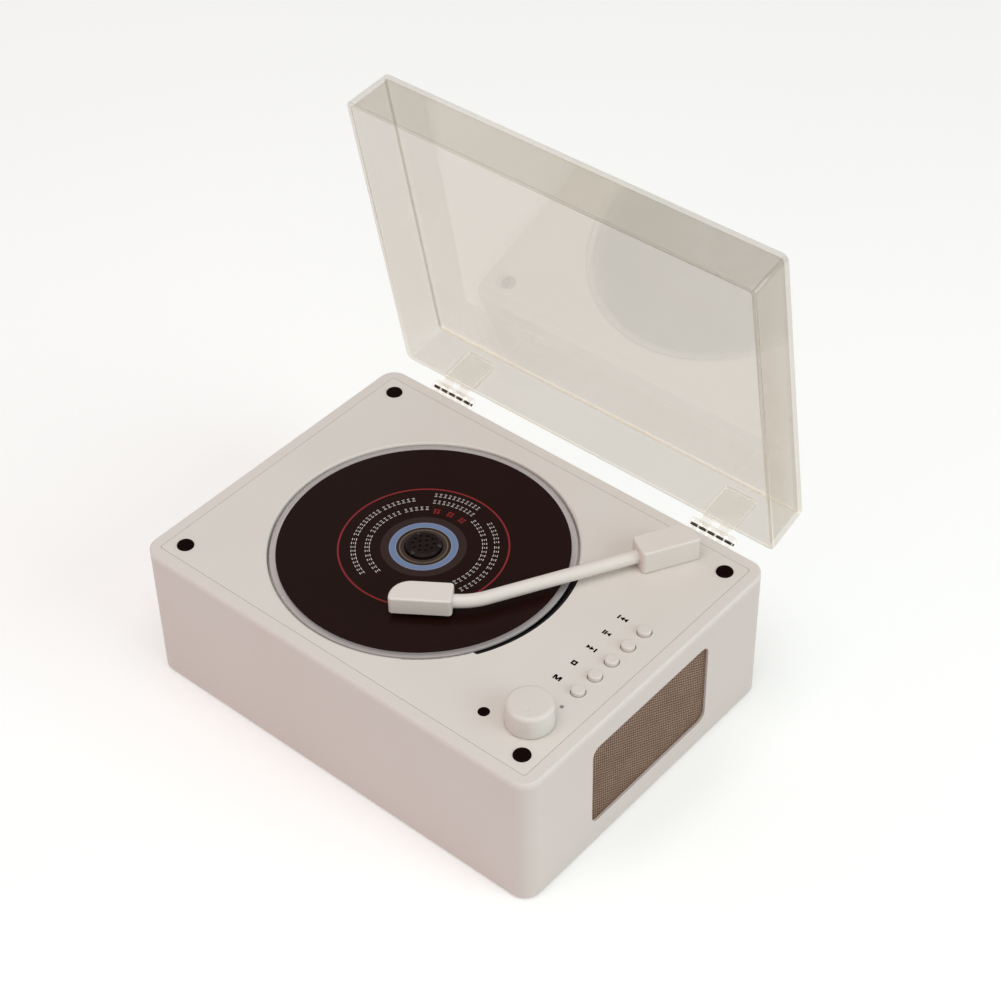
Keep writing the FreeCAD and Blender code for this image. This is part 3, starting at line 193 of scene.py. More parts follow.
def spunFrom(outline, centre, steps):    # a closed outline of (radius, height) turned round an upright line
    bm = bmesh.new()
    rim = [bm.verts.new((centre[0] + r, centre[1], z)) for r, z in outline]
    ring = [bm.edges.new((a, b)) for a, b in zip(rim, rim[1:] + rim[:1])]
    bmesh.ops.spin(bm, geom=rim + ring, cent=(*centre, 0), axis=(0, 0, 1), angle=math.tau, steps=steps,
                   use_merge=True, use_duplicate=False)
    bmesh.ops.remove_doubles(bm, verts=bm.verts, dist=1e-7)
    bmesh.ops.recalc_face_normals(bm, faces=bm.faces)
    return bm


# off-white mouldings
# the shell's rim colour is painted light, a top painted paler than the walls below it
shellLook = {"pale": paint(209, 197, 191), "deep": paint(206, 193, 187), "patch": 14.0, "grain": 2600.0,
             "rough": (0.42, 0.52), "shine": 0.4, "depth": 0.00002,
             "rim": paint(223, 214, 207), "litRimZ": (0.0605, 0.0635)}
deckLook = {"pale": paint(226, 218, 211), "deep": paint(223, 214, 206), "patch": 16.0, "grain": 3200.0,
            "rough": (0.36, 0.44), "shine": 0.4, "depth": 0.000012}
armLook = {"pale": paint(230, 221, 214), "deep": paint(227, 217, 209), "patch": 40.0, "grain": 2800.0,
           "rough": (0.34, 0.42), "shine": 0.45, "depth": 0.000012}
keyLook = {"pale": paint(224, 216, 209), "deep": paint(221, 212, 204), "patch": 60.0, "grain": 3600.0,
           "rough": (0.32, 0.42), "shine": 0.45, "depth": 0.00001}


def paintedLitRim(finish, look):    # the rim round the deck is painted paler than the walls: painted light, a lit top over walls in painted shade
    tree = finish.node_tree
    shader = tree.nodes["Principled BSDF"]
    walls = shader.inputs["Base Color"].links[0].from_socket
    height = tree.nodes.new("ShaderNodeSeparateXYZ")
    tree.links.new(tree.nodes["Texture Coordinate"].outputs["Object"], height.inputs["Vector"])
    both = tree.nodes.new("ShaderNodeMix")
    both.data_type = "RGBA"
    tree.links.new(between(tree, height.outputs["Z"], 0.0, 1.0, *look["litRimZ"]), both.inputs["Factor"])
    tree.links.new(walls, both.inputs["A"])
    both.inputs["B"].default_value = look["rim"]
    tree.links.new(both.outputs["Result"], shader.inputs["Base Color"])
    return finish


dress(paintedLitRim(moulded("shellPlastic", shellLook), shellLook), "case_shell", "base_cover")
dress(moulded("deckPlastic", deckLook), "deck_panel")
dress(moulded("armPlastic", armLook), "arm_block", "arm_tube", "arm_head")
dress(moulded("keyPlastic", keyLook), "volume_knob", "previous_button", "play_button", "next_button",
      "stop_button", "mode_button")
print("off-white mouldings dressed")


# black and grey mouldings
plugLook = {"pale": paint(22, 6, 4), "deep": paint(16, 4, 3), "patch": 300.0, "grain": 5000.0,
            "rough": (0.16, 0.26), "shine": 0.04, "depth": 0.000006}
coverLook = {"pale": paint(24, 20, 20), "deep": paint(17, 14, 15), "patch": 120.0, "grain": 2400.0,
             "rough": (0.4, 0.55), "shine": 0.25, "depth": 0.00003}
tableLook = {"pale": paint(32, 20, 19), "deep": paint(22, 13, 13), "patch": 200.0, "grain": 3000.0,
             "rough": (0.3, 0.42), "shine": 0.16, "depth": 0.00001}
rubberLook = {"pale": paint(42, 40, 40), "deep": paint(32, 30, 30), "patch": 250.0, "grain": 3600.0,
              "rough": (0.7, 0.85), "shine": 0.2, "depth": 0.00003}
baffleLook = {"pale": paint(92, 68, 44), "deep": paint(80, 58, 38), "patch": 60.0, "grain": 2400.0,
              "rough": (0.5, 0.6), "shine": 0.25, "depth": 0.00002}
gearLook = {"pale": paint(226, 220, 200), "deep": paint(216, 209, 186), "patch": 300.0, "grain": 4000.0,
            "rough": (0.35, 0.45), "shine": 0.45, "depth": 0.000006}
lightLook = {"pale": paint(150, 148, 146), "deep": paint(126, 124, 122), "patch": 900.0, "grain": 6000.0,
             "rough": (0.25, 0.35), "shine": 0.5, "depth": 0.000004}
coneLook = {"pale": paint(48, 42, 44), "deep": paint(34, 30, 32), "patch": 400.0, "grain": 1800.0,
            "rough": (0.7, 0.85), "shine": 0.2, "depth": 0.00008}
dress(moulded("plugGloss", plugLook), "screw_plugs", "receiver_window")
dress(moulded("coverPlastic", coverLook), "drive_cover", "drive_chassis", "pickup_sled", "audio_socket",
      "push_switches")
dress(moulded("tablePlastic", tableLook), "disc_table")
dress(moulded("footRubber", rubberLook), "rubber_feet", "drive_dampers", "grip_ring")
dress(moulded("bafflePlastic", baffleLook), "speaker_baffle")
dress(moulded("gearPlastic", gearLook), "drive_gear", "motor_pinion")
dress(moulded("lightLens", lightLook), "status_light")
dress(moulded("conePaper", coneLook), "speaker_cone")
print("dark mouldings dressed")


# metals
steelLook = {"pale": paint(196, 196, 198), "deep": paint(172, 172, 176), "patch": 500.0, "grain": 900.0,
             "stretch": (6, 6, 1), "rough": (0.22, 0.36), "metal": 1.0, "depth": 0.000004}
pinLook = {"pale": paint(70, 62, 58), "deep": paint(52, 46, 43), "patch": 400.0, "grain": 900.0,
           "stretch": (1, 8, 8), "rough": (0.3, 0.42), "metal": 0.9, "depth": 0.000004}
canLook = {"pale": paint(178, 176, 172), "deep": paint(158, 156, 153), "patch": 120.0, "grain": 600.0,
           "stretch": (1, 1, 12), "rough": (0.3, 0.45), "metal": 1.0, "depth": 0.00001}
grilleLook = {"pale": paint(151, 119, 97), "deep": paint(137, 107, 87), "patch": 90.0, "grain": 2000.0,
              "stretch": (1, 1, 1), "rough": (0.4, 0.52), "metal": 0.35, "depth": 0.00001}
dress(brushed("screwSteel", steelLook), "deck_screws", "base_screws", "main_board_screws", "control_board_screws",
      "drive_screws", "spindle_shaft", "guide_rods", "arm_pivot_pin", "arm_retaining_ring",
      "volume_shaft")
dress(brushed("pinSteel", pinLook), "left_hinge_pin", "right_hinge_pin", "catch_balls")
dress(brushed("canMetal", canLook), "spindle_motor", "sled_motor", "speaker_frame", "speaker_magnet",
      "power_inlet", "volume_control")
grilleFinish = brushed("grilleBronze", grilleLook)
dress(grilleFinish, "speaker_grille")
print("metals dressed")


# circuit boards with faint tracks under the green
boardLook = {"track": paint(46, 112, 66), "ground": paint(24, 74, 44), "pitch": 260.0, "rough": (0.28, 0.4),
             "haze": 900.0, "depth": 0.00002, "strength": 0.4}


def boardMask(name, look):
    finish, tree, shader, coords = startFinish(name)
    tracks = tree.nodes.new("ShaderNodeTexBrick")
    tracks.inputs["Color1"].default_value = look["track"]
    tracks.inputs["Color2"].default_value = look["ground"]
    tracks.inputs["Mortar"].default_value = look["ground"]
    tracks.inputs["Scale"].default_value = look["pitch"]
    tree.links.new(coords, tracks.inputs["Vector"])
    tree.links.new(tracks.outputs["Color"], shader.inputs["Base Color"])
    tree.links.new(between(tree, speckle(tree, coords, look["haze"]), *look["rough"]), shader.inputs["Roughness"])
    relief(tree, shader, tracks.outputs["Fac"], look["depth"], look["strength"])
    return finish


dress(boardMask("boardGreen", boardLook), "main_board", "control_board")


# pickup lens
lensLook = {"pale": paint(70, 84, 128), "deep": paint(40, 46, 86), "patch": 700.0, "grain": 5000.0,
            "rough": (0.05, 0.12), "shine": 0.6, "depth": 0.000002}
dress(moulded("lensGlass", lensLook), "pickup_lens")
print("boards and lens dressed")


# clear acrylic of the lid and its hinges, and its edges painted paler with a glow: painted highlights for the light
# they catch
acrylicLook = {"tint": paint(241, 239, 236), "warm": paint(239, 236, 232), "patch": 9.0, "scuff": 90.0,
               "rough": (0.03, 0.05), "body": paint(255, 251, 246), "mirror": 1.0, "haze": 0.055, "most": 0.85,
               "depth": 0.000001}
frontLook = {"tint": paint(249, 248, 246), "warm": paint(247, 246, 243), "patch": 9.0, "scuff": 90.0,
             "rough": (0.03, 0.05), "body": paint(255, 251, 246), "mirror": 1.0, "haze": 0.035, "most": 0.85,
             "depth": 0.000001}
leafLook = {"tint": paint(252, 251, 249), "warm": paint(250, 248, 246), "patch": 60.0, "scuff": 200.0,
            "rough": (0.03, 0.06), "body": paint(255, 252, 248), "mirror": 1.0, "haze": 0.025, "most": 0.85,
            "depth": 0.000001}
# the edge finishes paint highlights: an opaque pale body and a glow where clear edges would catch light
edgeLook = {"tint": paint(251, 249, 246), "warm": paint(248, 245, 240), "patch": 60.0, "scuff": 200.0,
            "rough": (0.2, 0.3), "body": paint(176, 164, 151), "mirror": 0.0, "haze": 0.45, "most": 1.0,
            "depth": 0.000002, "glow": (0.75, 0.0), "glowZ": (0.075, 0.14)}
rimLook = {"tint": paint(252, 251, 249), "warm": paint(250, 248, 245), "patch": 60.0, "scuff": 200.0,
           "rough": (0.2, 0.3), "body": paint(255, 254, 250), "mirror": 0.0, "haze": 0.3, "most": 1.0,
           "depth": 0.000002, "glow": (0.55, 0.55), "glowZ": (0.0, 0.1)}

glossSetup = {"stretch": (1, 6, 1), "detail": 1.0, "span": (0.5, 0.8), "glowTone": paint(255, 253, 246), "steep": 4.0,
              "strength": 0.3}


def acrylic(name, look):
    finish, tree, shader, coords = startFinish(name)
    patch = speckle(tree, coords, look["patch"])
    scuff = speckle(tree, moved(tree, coords, scale=glossSetup["stretch"]), look["scuff"], glossSetup["detail"])
    pane = tree.nodes.new("ShaderNodeBsdfTransparent")
    tree.links.new(shades(tree, patch, [(0.3, look["warm"]), (0.7, look["tint"])]), pane.inputs["Color"])
    tree.links.new(between(tree, scuff, *look["rough"], *glossSetup["span"]), shader.inputs["Roughness"])
    shader.inputs["Base Color"].default_value = look["body"]
    shader.inputs["Metallic"].default_value = look["mirror"]
    shader.inputs["Emission Color"].default_value = glossSetup["glowTone"]
    if "glowZ" in look:    # painted glow: emission stands in for light caught along the edges, most of it low down
        height = tree.nodes.new("ShaderNodeSeparateXYZ")
        tree.links.new(coords, height.inputs["Vector"])
        tree.links.new(between(tree, height.outputs["Z"], *look["glow"], *look["glowZ"]),
                       shader.inputs["Emission Strength"])
    facing = tree.nodes.new("ShaderNodeLayerWeight")
    facing.inputs["Blend"].default_value = 0.5
    steep = tree.nodes.new("ShaderNodeMath")
    steep.operation = "POWER"
    steep.inputs[1].default_value = glossSetup["steep"]
    tree.links.new(facing.outputs["Facing"], steep.inputs[0])
    both = tree.nodes.new("ShaderNodeMixShader")
    tree.links.new(between(tree, steep.outputs["Value"], look["haze"], look["most"], 0.0, 1.0), both.inputs["Fac"])
    tree.links.new(pane.outputs["BSDF"], both.inputs[1])
    tree.links.new(shader.outputs["BSDF"], both.inputs[2])
    path = tree.nodes.new("ShaderNodeLightPath")    # lamps shine through without a shadow
    lamps = tree.nodes.new("ShaderNodeBsdfTransparent")
    last = tree.nodes.new("ShaderNodeMixShader")
    tree.links.new(path.outputs["Is Shadow Ray"], last.inputs["Fac"])
    tree.links.new(both.outputs["Shader"], last.inputs[1])
    tree.links.new(lamps.outputs["BSDF"], last.inputs[2])
    tree.links.new(last.outputs["Shader"], tree.nodes["Material Output"].inputs["Surface"])
    relief(tree, shader, scuff, look["depth"], glossSetup["strength"])
    return finish


acrylicFinish = acrylic("lidAcrylic", acrylicLook)
frontFinish = acrylic("frontAcrylic", frontLook)
leafFinish = acrylic("leafAcrylic", leafLook)
edgeFinish = acrylic("acrylicEdge", edgeLook)
rimFinish = acrylic("leafEdge", rimLook)
bpy.context.scene.cycles.transparent_max_bounces = 24    # the lid has many clear walls in line
dress(acrylicFinish, "lid_cover")
dress(leafFinish, "left_lid_leaf", "right_lid_leaf", "left_base_leaf", "right_base_leaf")

lidSetup = {"width": 190.0, "depth": 142.5, "rise": 21.0, "stepIn": 0.85, "wall": 2.0, "corner": 3.0, "edge": 1.0,
            "rimEdge": 0.25, "rim": 64.3, "midY": 1.25, "hingeY": 77.2, "hingeZ": 61.2, "openDeg": 79.5,
            "slack": 0.01, "backBand": 2.0, "frontBand": 4.0, "flatOver": 8e-5}


# faces given the second finish, whose pale glow paints the highlight of the edges
def markEdges(made, behind=None):
    for face in made["faces"]:
        if behind is None or face.calc_center_median().y > behind:
            face.material_index = 1


def swingOpen(bm):    # from the closed pose to the one it stands in
    swing = Matrix.Rotation(-math.radians(lidSetup["openDeg"]), 3, "X")
    bmesh.ops.rotate(bm, cent=(0, lidSetup["hingeY"], lidSetup["hingeZ"]), matrix=swing, verts=bm.verts)


def makeLid(setup):
    bm = bmesh.new()
    bmesh.ops.create_cube(bm, size=1.0)
    top = [v for v in bm.verts if v.co.z > 0]
    bmesh.ops.scale(bm, vec=(setup["width"], setup["depth"], setup["rise"]), verts=bm.verts)
    shrink = (1 - 2 * setup["stepIn"] / setup["width"], 1 - 2 * setup["stepIn"] / setup["depth"], 1)
    bmesh.ops.scale(bm, vec=shrink, verts=top)
    upright = [e for e in bm.edges if abs(e.verts[0].co.z - e.verts[1].co.z) > 1]
    bmesh.ops.bevel(bm, geom=upright, offset=setup["corner"], offset_type="OFFSET", segments=8, profile=0.5,
                    affect="EDGES", material=-1)
    high = setup["rise"] / 2
    roof = [e for e in bm.edges if all(v.co.z > high - setup["slack"] for v in e.verts)]
    markEdges(bmesh.ops.bevel(bm, geom=roof, offset=setup["edge"], offset_type="OFFSET", segments=5, profile=0.5,
                              affect="EDGES", material=-1), setup["depth"] / 2 - setup["backBand"])
    mouth = [f for f in bm.faces if all(v.co.z < setup["slack"] - high for v in f.verts)]
    bmesh.ops.delete(bm, geom=mouth, context="FACES_ONLY")
    bmesh.ops.recalc_face_normals(bm, faces=bm.faces)
    bmesh.ops.solidify(bm, geom=bm.faces[:], thickness=setup["wall"])
    lip = [e for e in bm.edges if all(v.co.z < setup["slack"] - high for v in e.verts)
           and any(abs(f.normal.z) < 0.5 for f in e.link_faces)]
    markEdges(bmesh.ops.bevel(bm, geom=lip, offset=setup["rimEdge"], offset_type="OFFSET", segments=2, profile=0.5,
                              affect="EDGES", material=-1))
    for face in bm.faces:    # the front wall is the clearest
        if abs(face.normal.y) > 0.9 and face.calc_center_median().y < setup["frontBand"] - setup["depth"] / 2:
            face.material_index = 2
    bmesh.ops.translate(bm, vec=(0, setup["midY"], setup["rim"] + high), verts=bm.verts)
    swingOpen(bm)
    toMetres(bm)
    lid = keepPiece("lidShell", bm, acrylicFinish, "lid", ["lid_cover"], flatOver=setup["flatOver"])
    lid.data.materials.append(edgeFinish)
    lid.data.materials.append(frontFinish)


makeLid(lidSetup)
print("lid made")


# hinge leaves: a plate, and every second knuckle with its web
hingeSetup = {"x": 67.4, "barrel": 20.6, "knuckles": 5, "gap": 0.3, "outer": 2.9, "bore": 0.66, "face": 1.9,
              "chamfer": 0.35, "steps": 40, "webY": 1.2, "flatOver": 2e-5, "wallY": 72.5,
              "lidPlate": (15.6, 64.7, 81.2), "basePlate": (20.6, 42.5, 59.0), "thick": 2.0, "clear": 0.4}


def addKnuckle(bm, x0, x1, setup):
    edge, inner, outer, face = setup["chamfer"], setup["bore"], setup["outer"], setup["face"]
    y, z = lidSetup["hingeY"], lidSetup["hingeZ"]
    outline = [(x0, inner), (x0, face), (x0, outer - edge), (x0 + edge, outer),
               (x1 - edge, outer), (x1, outer - edge), (x1, face), (x1, inner)]
    rim = [bm.verts.new((x, y, z + r)) for x, r in outline]
    ring = [bm.edges.new((a, b)) for a, b in zip(rim, rim[1:] + rim[:1])]
    bmesh.ops.spin(bm, geom=rim + ring, cent=(0, y, z), axis=(1, 0, 0), angle=math.tau, steps=setup["steps"],
                   use_merge=True, use_duplicate=False)
    for part in bm.faces:    # the end faces round the pin take the glowing edge finish, a painted highlight
        middle = part.calc_center_median()
        if abs(part.normal.x) > 0.9 and math.hypot(middle.y - y, middle.z - z) < face:
            part.material_index = 1


def addBlock(bm, points, x0, x1):    # a few (y, z) points drawn out along x
    face = bm.faces.new([bm.verts.new((x0, y, z)) for y, z in points])
    pulled(bm, [face], (x1 - x0, 0, 0))


def makeLeaf(name, node, side, upper, setup):
    bm = bmesh.new()
    y, z = lidSetup["hingeY"], lidSetup["hingeZ"]
    back, thick = setup["wallY"], setup["thick"]
    width, low, high = setup["lidPlate"] if upper else setup["basePlate"]
    lean = lidSetup["stepIn"] / lidSetup["rise"] if upper else 0.0
    lowY, highY = back - lean * setup["clear"], back - lean * (high - lidSetup["rim"])
    middle = side * setup["x"]
    addBlock(bm, [(lowY, low), (highY, high), (highY + thick, high), (lowY + thick, low)],
             middle - width / 2, middle + width / 2)
    bmesh.ops.recalc_face_normals(bm, faces=bm.faces)
    markEdges(bmesh.ops.bevel(bm, geom=bm.edges[:], offset=setup["chamfer"], offset_type="OFFSET", segments=2,
                              profile=0.5, affect="EDGES", material=-1))
    pitch = setup["barrel"] / setup["knuckles"]
    for count in range(setup["knuckles"]):
        if count % 2 != upper:
            continue
        x0 = middle - setup["barrel"] / 2 + count * pitch + setup["gap"] / 2
        x1 = x0 + pitch - setup["gap"]
        addKnuckle(bm, x0, x1, setup)
        join = low if upper else high
        reach = setup["outer"] - setup["chamfer"]
        if upper:
            web = [(back + setup["clear"], join), (back + setup["clear"], z), (y - reach, z),
                   (y - setup["webY"], z + reach), (back + thick, join)]
        else:
            web = [(back, join), (back, z), (y - reach, z),
                   (y - setup["webY"], z - reach), (back + thick, join)]
        addBlock(bm, web, x0, x1)
    bmesh.ops.remove_doubles(bm, verts=bm.verts, dist=1e-4)
    bmesh.ops.recalc_face_normals(bm, faces=bm.faces)
    if upper:
        swingOpen(bm)
    toMetres(bm)
    leaf = keepPiece(name, bm, leafFinish, "lid" if upper else "player", [node],
                     flatOver=setup["flatOver"])
    leaf.data.materials.append(rimFinish)


for word, side in (("left", -1), ("right", 1)):
    makeLeaf(word + "UpperLeaf", word + "_lid_leaf", side, True, hingeSetup)
    makeLeaf(word + "LowerLeaf", word + "_base_leaf", side, False, hingeSetup)
print("hinge leaves made")


# disc, with its print laid out in rings
discSetup = {"centre": (-0.0137, -0.0016), "radius": 60.0, "hole": 7.5, "top": 63.4, "thick": 1.2, "edge": 0.2,
             "ridge": (17.2, 17.8), "ridgeDrop": 0.2, "steps": 160}
# the last ring is the pale tint of the clear rim, painted light for the lit well floor seen through it
discRings = [
    (0.0, paint(66, 54, 48)), (9.1, paint(112, 95, 82)), (9.4, paint(56, 45, 40)), (10.7, paint(158, 158, 164)),
    (11.0, paint(112, 130, 164)), (13.1, paint(134, 134, 160)), (13.5, paint(36, 26, 25)), (13.7, paint(54, 41, 38)),
    (16.8, paint(33, 15, 12)), (33.0, paint(138, 46, 48)), (33.6, paint(33, 15, 12)), (57.6, paint(230, 221, 220)),
]
discCover = [(0.0, 1.0), (57.6, 0.32), (59.7, 0.5)]    # the rim past the print is clear plastic; its pale, partly opaque tint is painted light for the lit well floor under it, and the outermost step is a painted highlight along the edge
discLook = {"haze": 60.0, "rough": (0.2, 0.26), "shine": 0.1, "wave": 25.0, "depth": 0.00001, "strength": 0.05}


def discPrint(name, setup, rings, look):
    finish, tree, shader, coords = startFinish(name)
    reach = 1 / (setup["radius"] * mm)
    spot = moved(tree, coords, place=(-setup["centre"][0] * reach, -setup["centre"][1] * reach, 0),
                 scale=(reach, reach, 0))
    span = tree.nodes.new("ShaderNodeVectorMath")
    span.operation = "LENGTH"
    tree.links.new(spot, span.inputs[0])
    colour = shades(tree, span.outputs["Value"], [(r / setup["radius"], c) for r, c in rings], True)
    tree.links.new(colour, shader.inputs["Base Color"])
    cover = shades(tree, span.outputs["Value"], [(r / setup["radius"], (a, a, a, 1)) for r, a in discCover], True)
    tree.links.new(cover, shader.inputs["Alpha"])
    haze = speckle(tree, coords, look["haze"])
    tree.links.new(between(tree, haze, *look["rough"]), shader.inputs["Roughness"])
    shader.inputs["Specular IOR Level"].default_value = look["shine"]
    relief(tree, shader, speckle(tree, coords, look["wave"]), look["depth"], look["strength"])
    return finish


def makeDisc(setup):
    top, low, edge = setup["top"], setup["top"] - setup["thick"], setup["edge"]
    inner, outer = setup["hole"], setup["radius"]
    first, last = setup["ridge"]
    drop = low - setup["ridgeDrop"]
    outline = [(inner, low + edge), (inner + edge, low), (first, low), (first, drop), (last, drop), (last, low),
               (outer - edge, low), (outer, low + edge), (outer, top - edge), (outer - edge, top),
               (inner + edge, top), (inner, top - edge)]
    bm = spunFrom([(r * mm, z * mm) for r, z in outline], setup["centre"], setup["steps"])
    keepPiece("discBody", bm, discPrint("discPrint", setup, discRings, discLook), "turntable",
              ["compact_disc"])


makeDisc(discSetup)

# rows of plain dashes printed on the disc: radius, first and last degree, dashes, their length
dashLook = {"pale": paint(224, 217, 210), "deep": paint(194, 186, 179), "patch": 900.0, "grain": 6000.0,
            "rough": (0.5, 0.6), "shine": 0.2, "depth": 0.000003}
redLook = {"pale": paint(186, 54, 50), "deep": paint(160, 42, 40), "patch": 900.0, "grain": 6000.0,
           "rough": (0.5, 0.6), "shine": 0.2, "depth": 0.000003}
rowSetup = {"lines": [(-0.8, 1.0), (0.0, 0.5), (0.8, 0.85)], "lineW": 0.3, "thick": 0.03,
            "rows": [(27.5, 140, 166, 6, 1.3), (27.5, 172, 205, 8, 1.25), (27.5, 211, 252, 9, 1.35),
                     (22.0, 128, 150, 4, 1.3), (22.0, 158, 196, 7, 1.2), (22.0, 204, 226, 4, 1.3),
                     (22.0, 233, 258, 4, 1.35),
                     (28.5, -18, 8, 6, 1.2), (28.5, 14, 38, 5, 1.35), (28.5, 44, 66, 5, 1.2),
                     (23.8, -18, 14, 6, 1.3), (23.8, 21, 48, 5, 1.3), (23.8, 55, 76, 4, 1.2),
                     (26.0, 84, 122, 9, 1.1), (30.0, 86, 122, 10, 1.1)]}
redSetup = {"lines": [(-1.1, 0.8), (-0.35, 1.0), (0.4, 0.6), (1.1, 1.1)], "lineW": 0.3, "thick": 0.03,
            "rows": [(20.6, 83, 87, 1, 1.1), (20.6, 99, 103, 1, 1.1), (20.6, 115, 119, 1, 1.1)]}


def makeDashes(name, setup, finish):
    bm = bmesh.new()
    middle = Vector((*discSetup["centre"], 0)) / mm
    for radius, first, last, count, length in setup["rows"]:
        for offset, longer in setup["lines"]:
            bar = bmesh.ops.create_grid(bm, x_segments=1, y_segments=1, size=0.5)["verts"]
            bmesh.ops.scale(bm, vec=(setup["lineW"], length * longer, 1), verts=bar)
            bmesh.ops.translate(bm, vec=(radius + offset, 0, 0), verts=bar)
            bmesh.ops.rotate(bm, cent=(0, 0, 0), matrix=Matrix.Rotation(math.radians(first), 3, "Z"), verts=bar)
            whole = list({f for v in bar for f in v.link_faces})
            bmesh.ops.spin(bm, geom=whole, cent=(0, 0, 0), axis=(0, 0, 1), angle=math.radians(last - first),
                           steps=count, use_merge=False, use_duplicate=True)
    pulled(bm, bm.faces[:], (0, 0, setup["thick"]))
    bmesh.ops.recalc_face_normals(bm, faces=bm.faces)
    bmesh.ops.translate(bm, vec=middle + Vector((0, 0, discSetup["top"] - inkSink)), verts=bm.verts)
    toMetres(bm)
    keepPiece(name, bm, finish, "turntable", flatOver=0.0)


makeDashes("discDashes", rowSetup, moulded("dashInk", dashLook))
makeDashes("redDashes", redSetup, moulded("redInk", redLook))
print("disc made")


# perforated sheet of the grille, its holes in staggered columns
sheetSetup = {"pitch": 1.35, "web": 0.4, "round": 0.16, "thick": 0.45, "face": 96.45, "midZ": 31.8, "halfW": 36.7,
              "halfH": 21.95, "corner": 5.8, "joinUnder": 0.01}


def makeGrille(setup):
    bm = bmesh.new()
    pitch, step = setup["pitch"], setup["pitch"] * math.sqrt(0.75)
    flatW, flatH = setup["halfW"] - setup["corner"], setup["halfH"] - setup["corner"]
    turn = Matrix.Rotation(math.radians(30), 4, "Z")
    columns, rows = int(setup["halfW"] / step), int(setup["halfH"] / pitch)
    for column in range(-columns, columns + 1):
        for row in range(-rows - 1, rows + 1):
            spot = Vector((column * step, (row + column % 2 / 2) * pitch, 0))
            over = Vector((max(abs(spot.x) - flatW, 0), max(abs(spot.y) - flatH, 0)))
            if over.length < setup["corner"] - pitch / 2:
                bmesh.ops.create_circle(bm, cap_ends=True, segments=6, radius=pitch / math.sqrt(3),
                                        matrix=Matrix.Translation(spot) @ turn)
    bmesh.ops.remove_doubles(bm, verts=bm.verts, dist=setup["joinUnder"])
    cells = bm.faces[:]
    bmesh.ops.inset_individual(bm, faces=cells, thickness=setup["web"] / 2, use_even_offset=True)
    inner = list({v for cell in cells for v in cell.verts})
    bmesh.ops.bevel(bm, geom=inner, offset=setup["round"], offset_type="OFFSET", segments=1, profile=0.5,
                    affect="VERTICES", material=-1)
    holes = [f for f in bm.faces if len(f.verts) == 12]
    bmesh.ops.delete(bm, geom=holes, context="FACES")
    bmesh.ops.recalc_face_normals(bm, faces=bm.faces)
    bmesh.ops.solidify(bm, geom=bm.faces[:], thickness=setup["thick"])
    stand = Matrix(((0, 0, 1), (1, 0, 0), (0, 1, 0)))
    bmesh.ops.rotate(bm, cent=(0, 0, 0), matrix=stand, verts=bm.verts)
    high = max(v.co.x for v in bm.verts)
    bmesh.ops.translate(bm, vec=(setup["face"] - high, 0, setup["midZ"]), verts=bm.verts)
    toMetres(bm)
    print("grille holes", len(holes))
    keepPiece("grilleSheet", bm, grilleFinish, "player", ["speaker_grille"], flatOver=0.0)


makeGrille(sheetSetup)
print("grille made")


# printed marks beside the buttons
inkLook = {"pale": paint(7, 5, 5), "deep": paint(4, 3, 3), "patch": 2500.0, "grain": 6000.0,
           "rough": (0.5, 0.6), "shine": 0.04, "depth": 0.000004}
markSetup = {"x": 71.35, "firstY": 15.8, "pitch": 9.8, "arrow": 1.15, "barW": 0.72, "barH": 2.1, "square": 2.3,
             "line": 0.75, "thick": 0.05}
inkFinish = moulded("markInk", inkLook)


def addArrow(bm, x, leftward):
    made = bmesh.ops.create_circle(bm, cap_ends=True, segments=3, radius=markSetup["arrow"])["verts"]
    bmesh.ops.rotate(bm, cent=(0, 0, 0), verts=made,
                     matrix=Matrix.Rotation(math.radians(90 if leftward else -90), 3, "Z"))
    bmesh.ops.translate(bm, vec=(x, 0, 0), verts=made)


def addBar(bm, x, y, width, height, turn=0.0):
    made = bmesh.ops.create_grid(bm, x_segments=1, y_segments=1, size=0.5)["verts"]
    bmesh.ops.scale(bm, vec=(width, height, 1), verts=made)
    bmesh.ops.rotate(bm, cent=(0, 0, 0), verts=made, matrix=Matrix.Rotation(turn, 3, "Z"))
    bmesh.ops.translate(bm, vec=(x, y, 0), verts=made)


def makeMark(row, name, arrows, bars, ring):
    bm = bmesh.new()
    for x, leftward in arrows:
        addArrow(bm, x, leftward)
    for bar in bars:
        addBar(bm, *bar)
    if ring:
        addBar(bm, 0, 0, ring, ring)
        faces = bm.faces[:]
        bmesh.ops.inset_individual(bm, faces=faces, thickness=markSetup["line"], use_even_offset=True)
        bmesh.ops.delete(bm, geom=faces, context="FACES")
    pulled(bm, bm.faces[:], (0, 0, markSetup["thick"]))
    bmesh.ops.recalc_face_normals(bm, faces=bm.faces)
    place = (markSetup["x"], markSetup["firstY"] - row * markSetup["pitch"], deckTop / mm - inkSink)
    bmesh.ops.translate(bm, vec=place, verts=bm.verts)
    toMetres(bm)
    keepPiece(name, bm, inkFinish, "player", flatOver=0.0)


# each mark: its arrows (place, leftward), its bars (place, size, turn) and the side of its ring
barW, barH = markSetup["barW"], markSetup["barH"]
markShapes = [
    ("previousMark", [(-0.35, True), (1.25, True)], [(-2.1, 0, barW, barH)], None),
    ("playMark", [(0.9, True)], [(-1.6, 0, barW, barH), (-0.65, 0, barW, barH)], None),
    ("nextMark", [(-1.25, False), (0.35, False)], [(2.1, 0, barW, barH)], None),
    ("stopMark", [], [], markSetup["square"]),
    ("modeMark", [], [(-1.3, 0, 0.7, 2.3), (1.3, 0, 0.7, 2.3), (-0.52, 0, 0.7, 2.2, 0.4), (0.52, 0, 0.7, 2.2, -0.4)],
     None),
]
for row, shape in enumerate(markShapes):
    makeMark(row, *shape)
print("marks made")


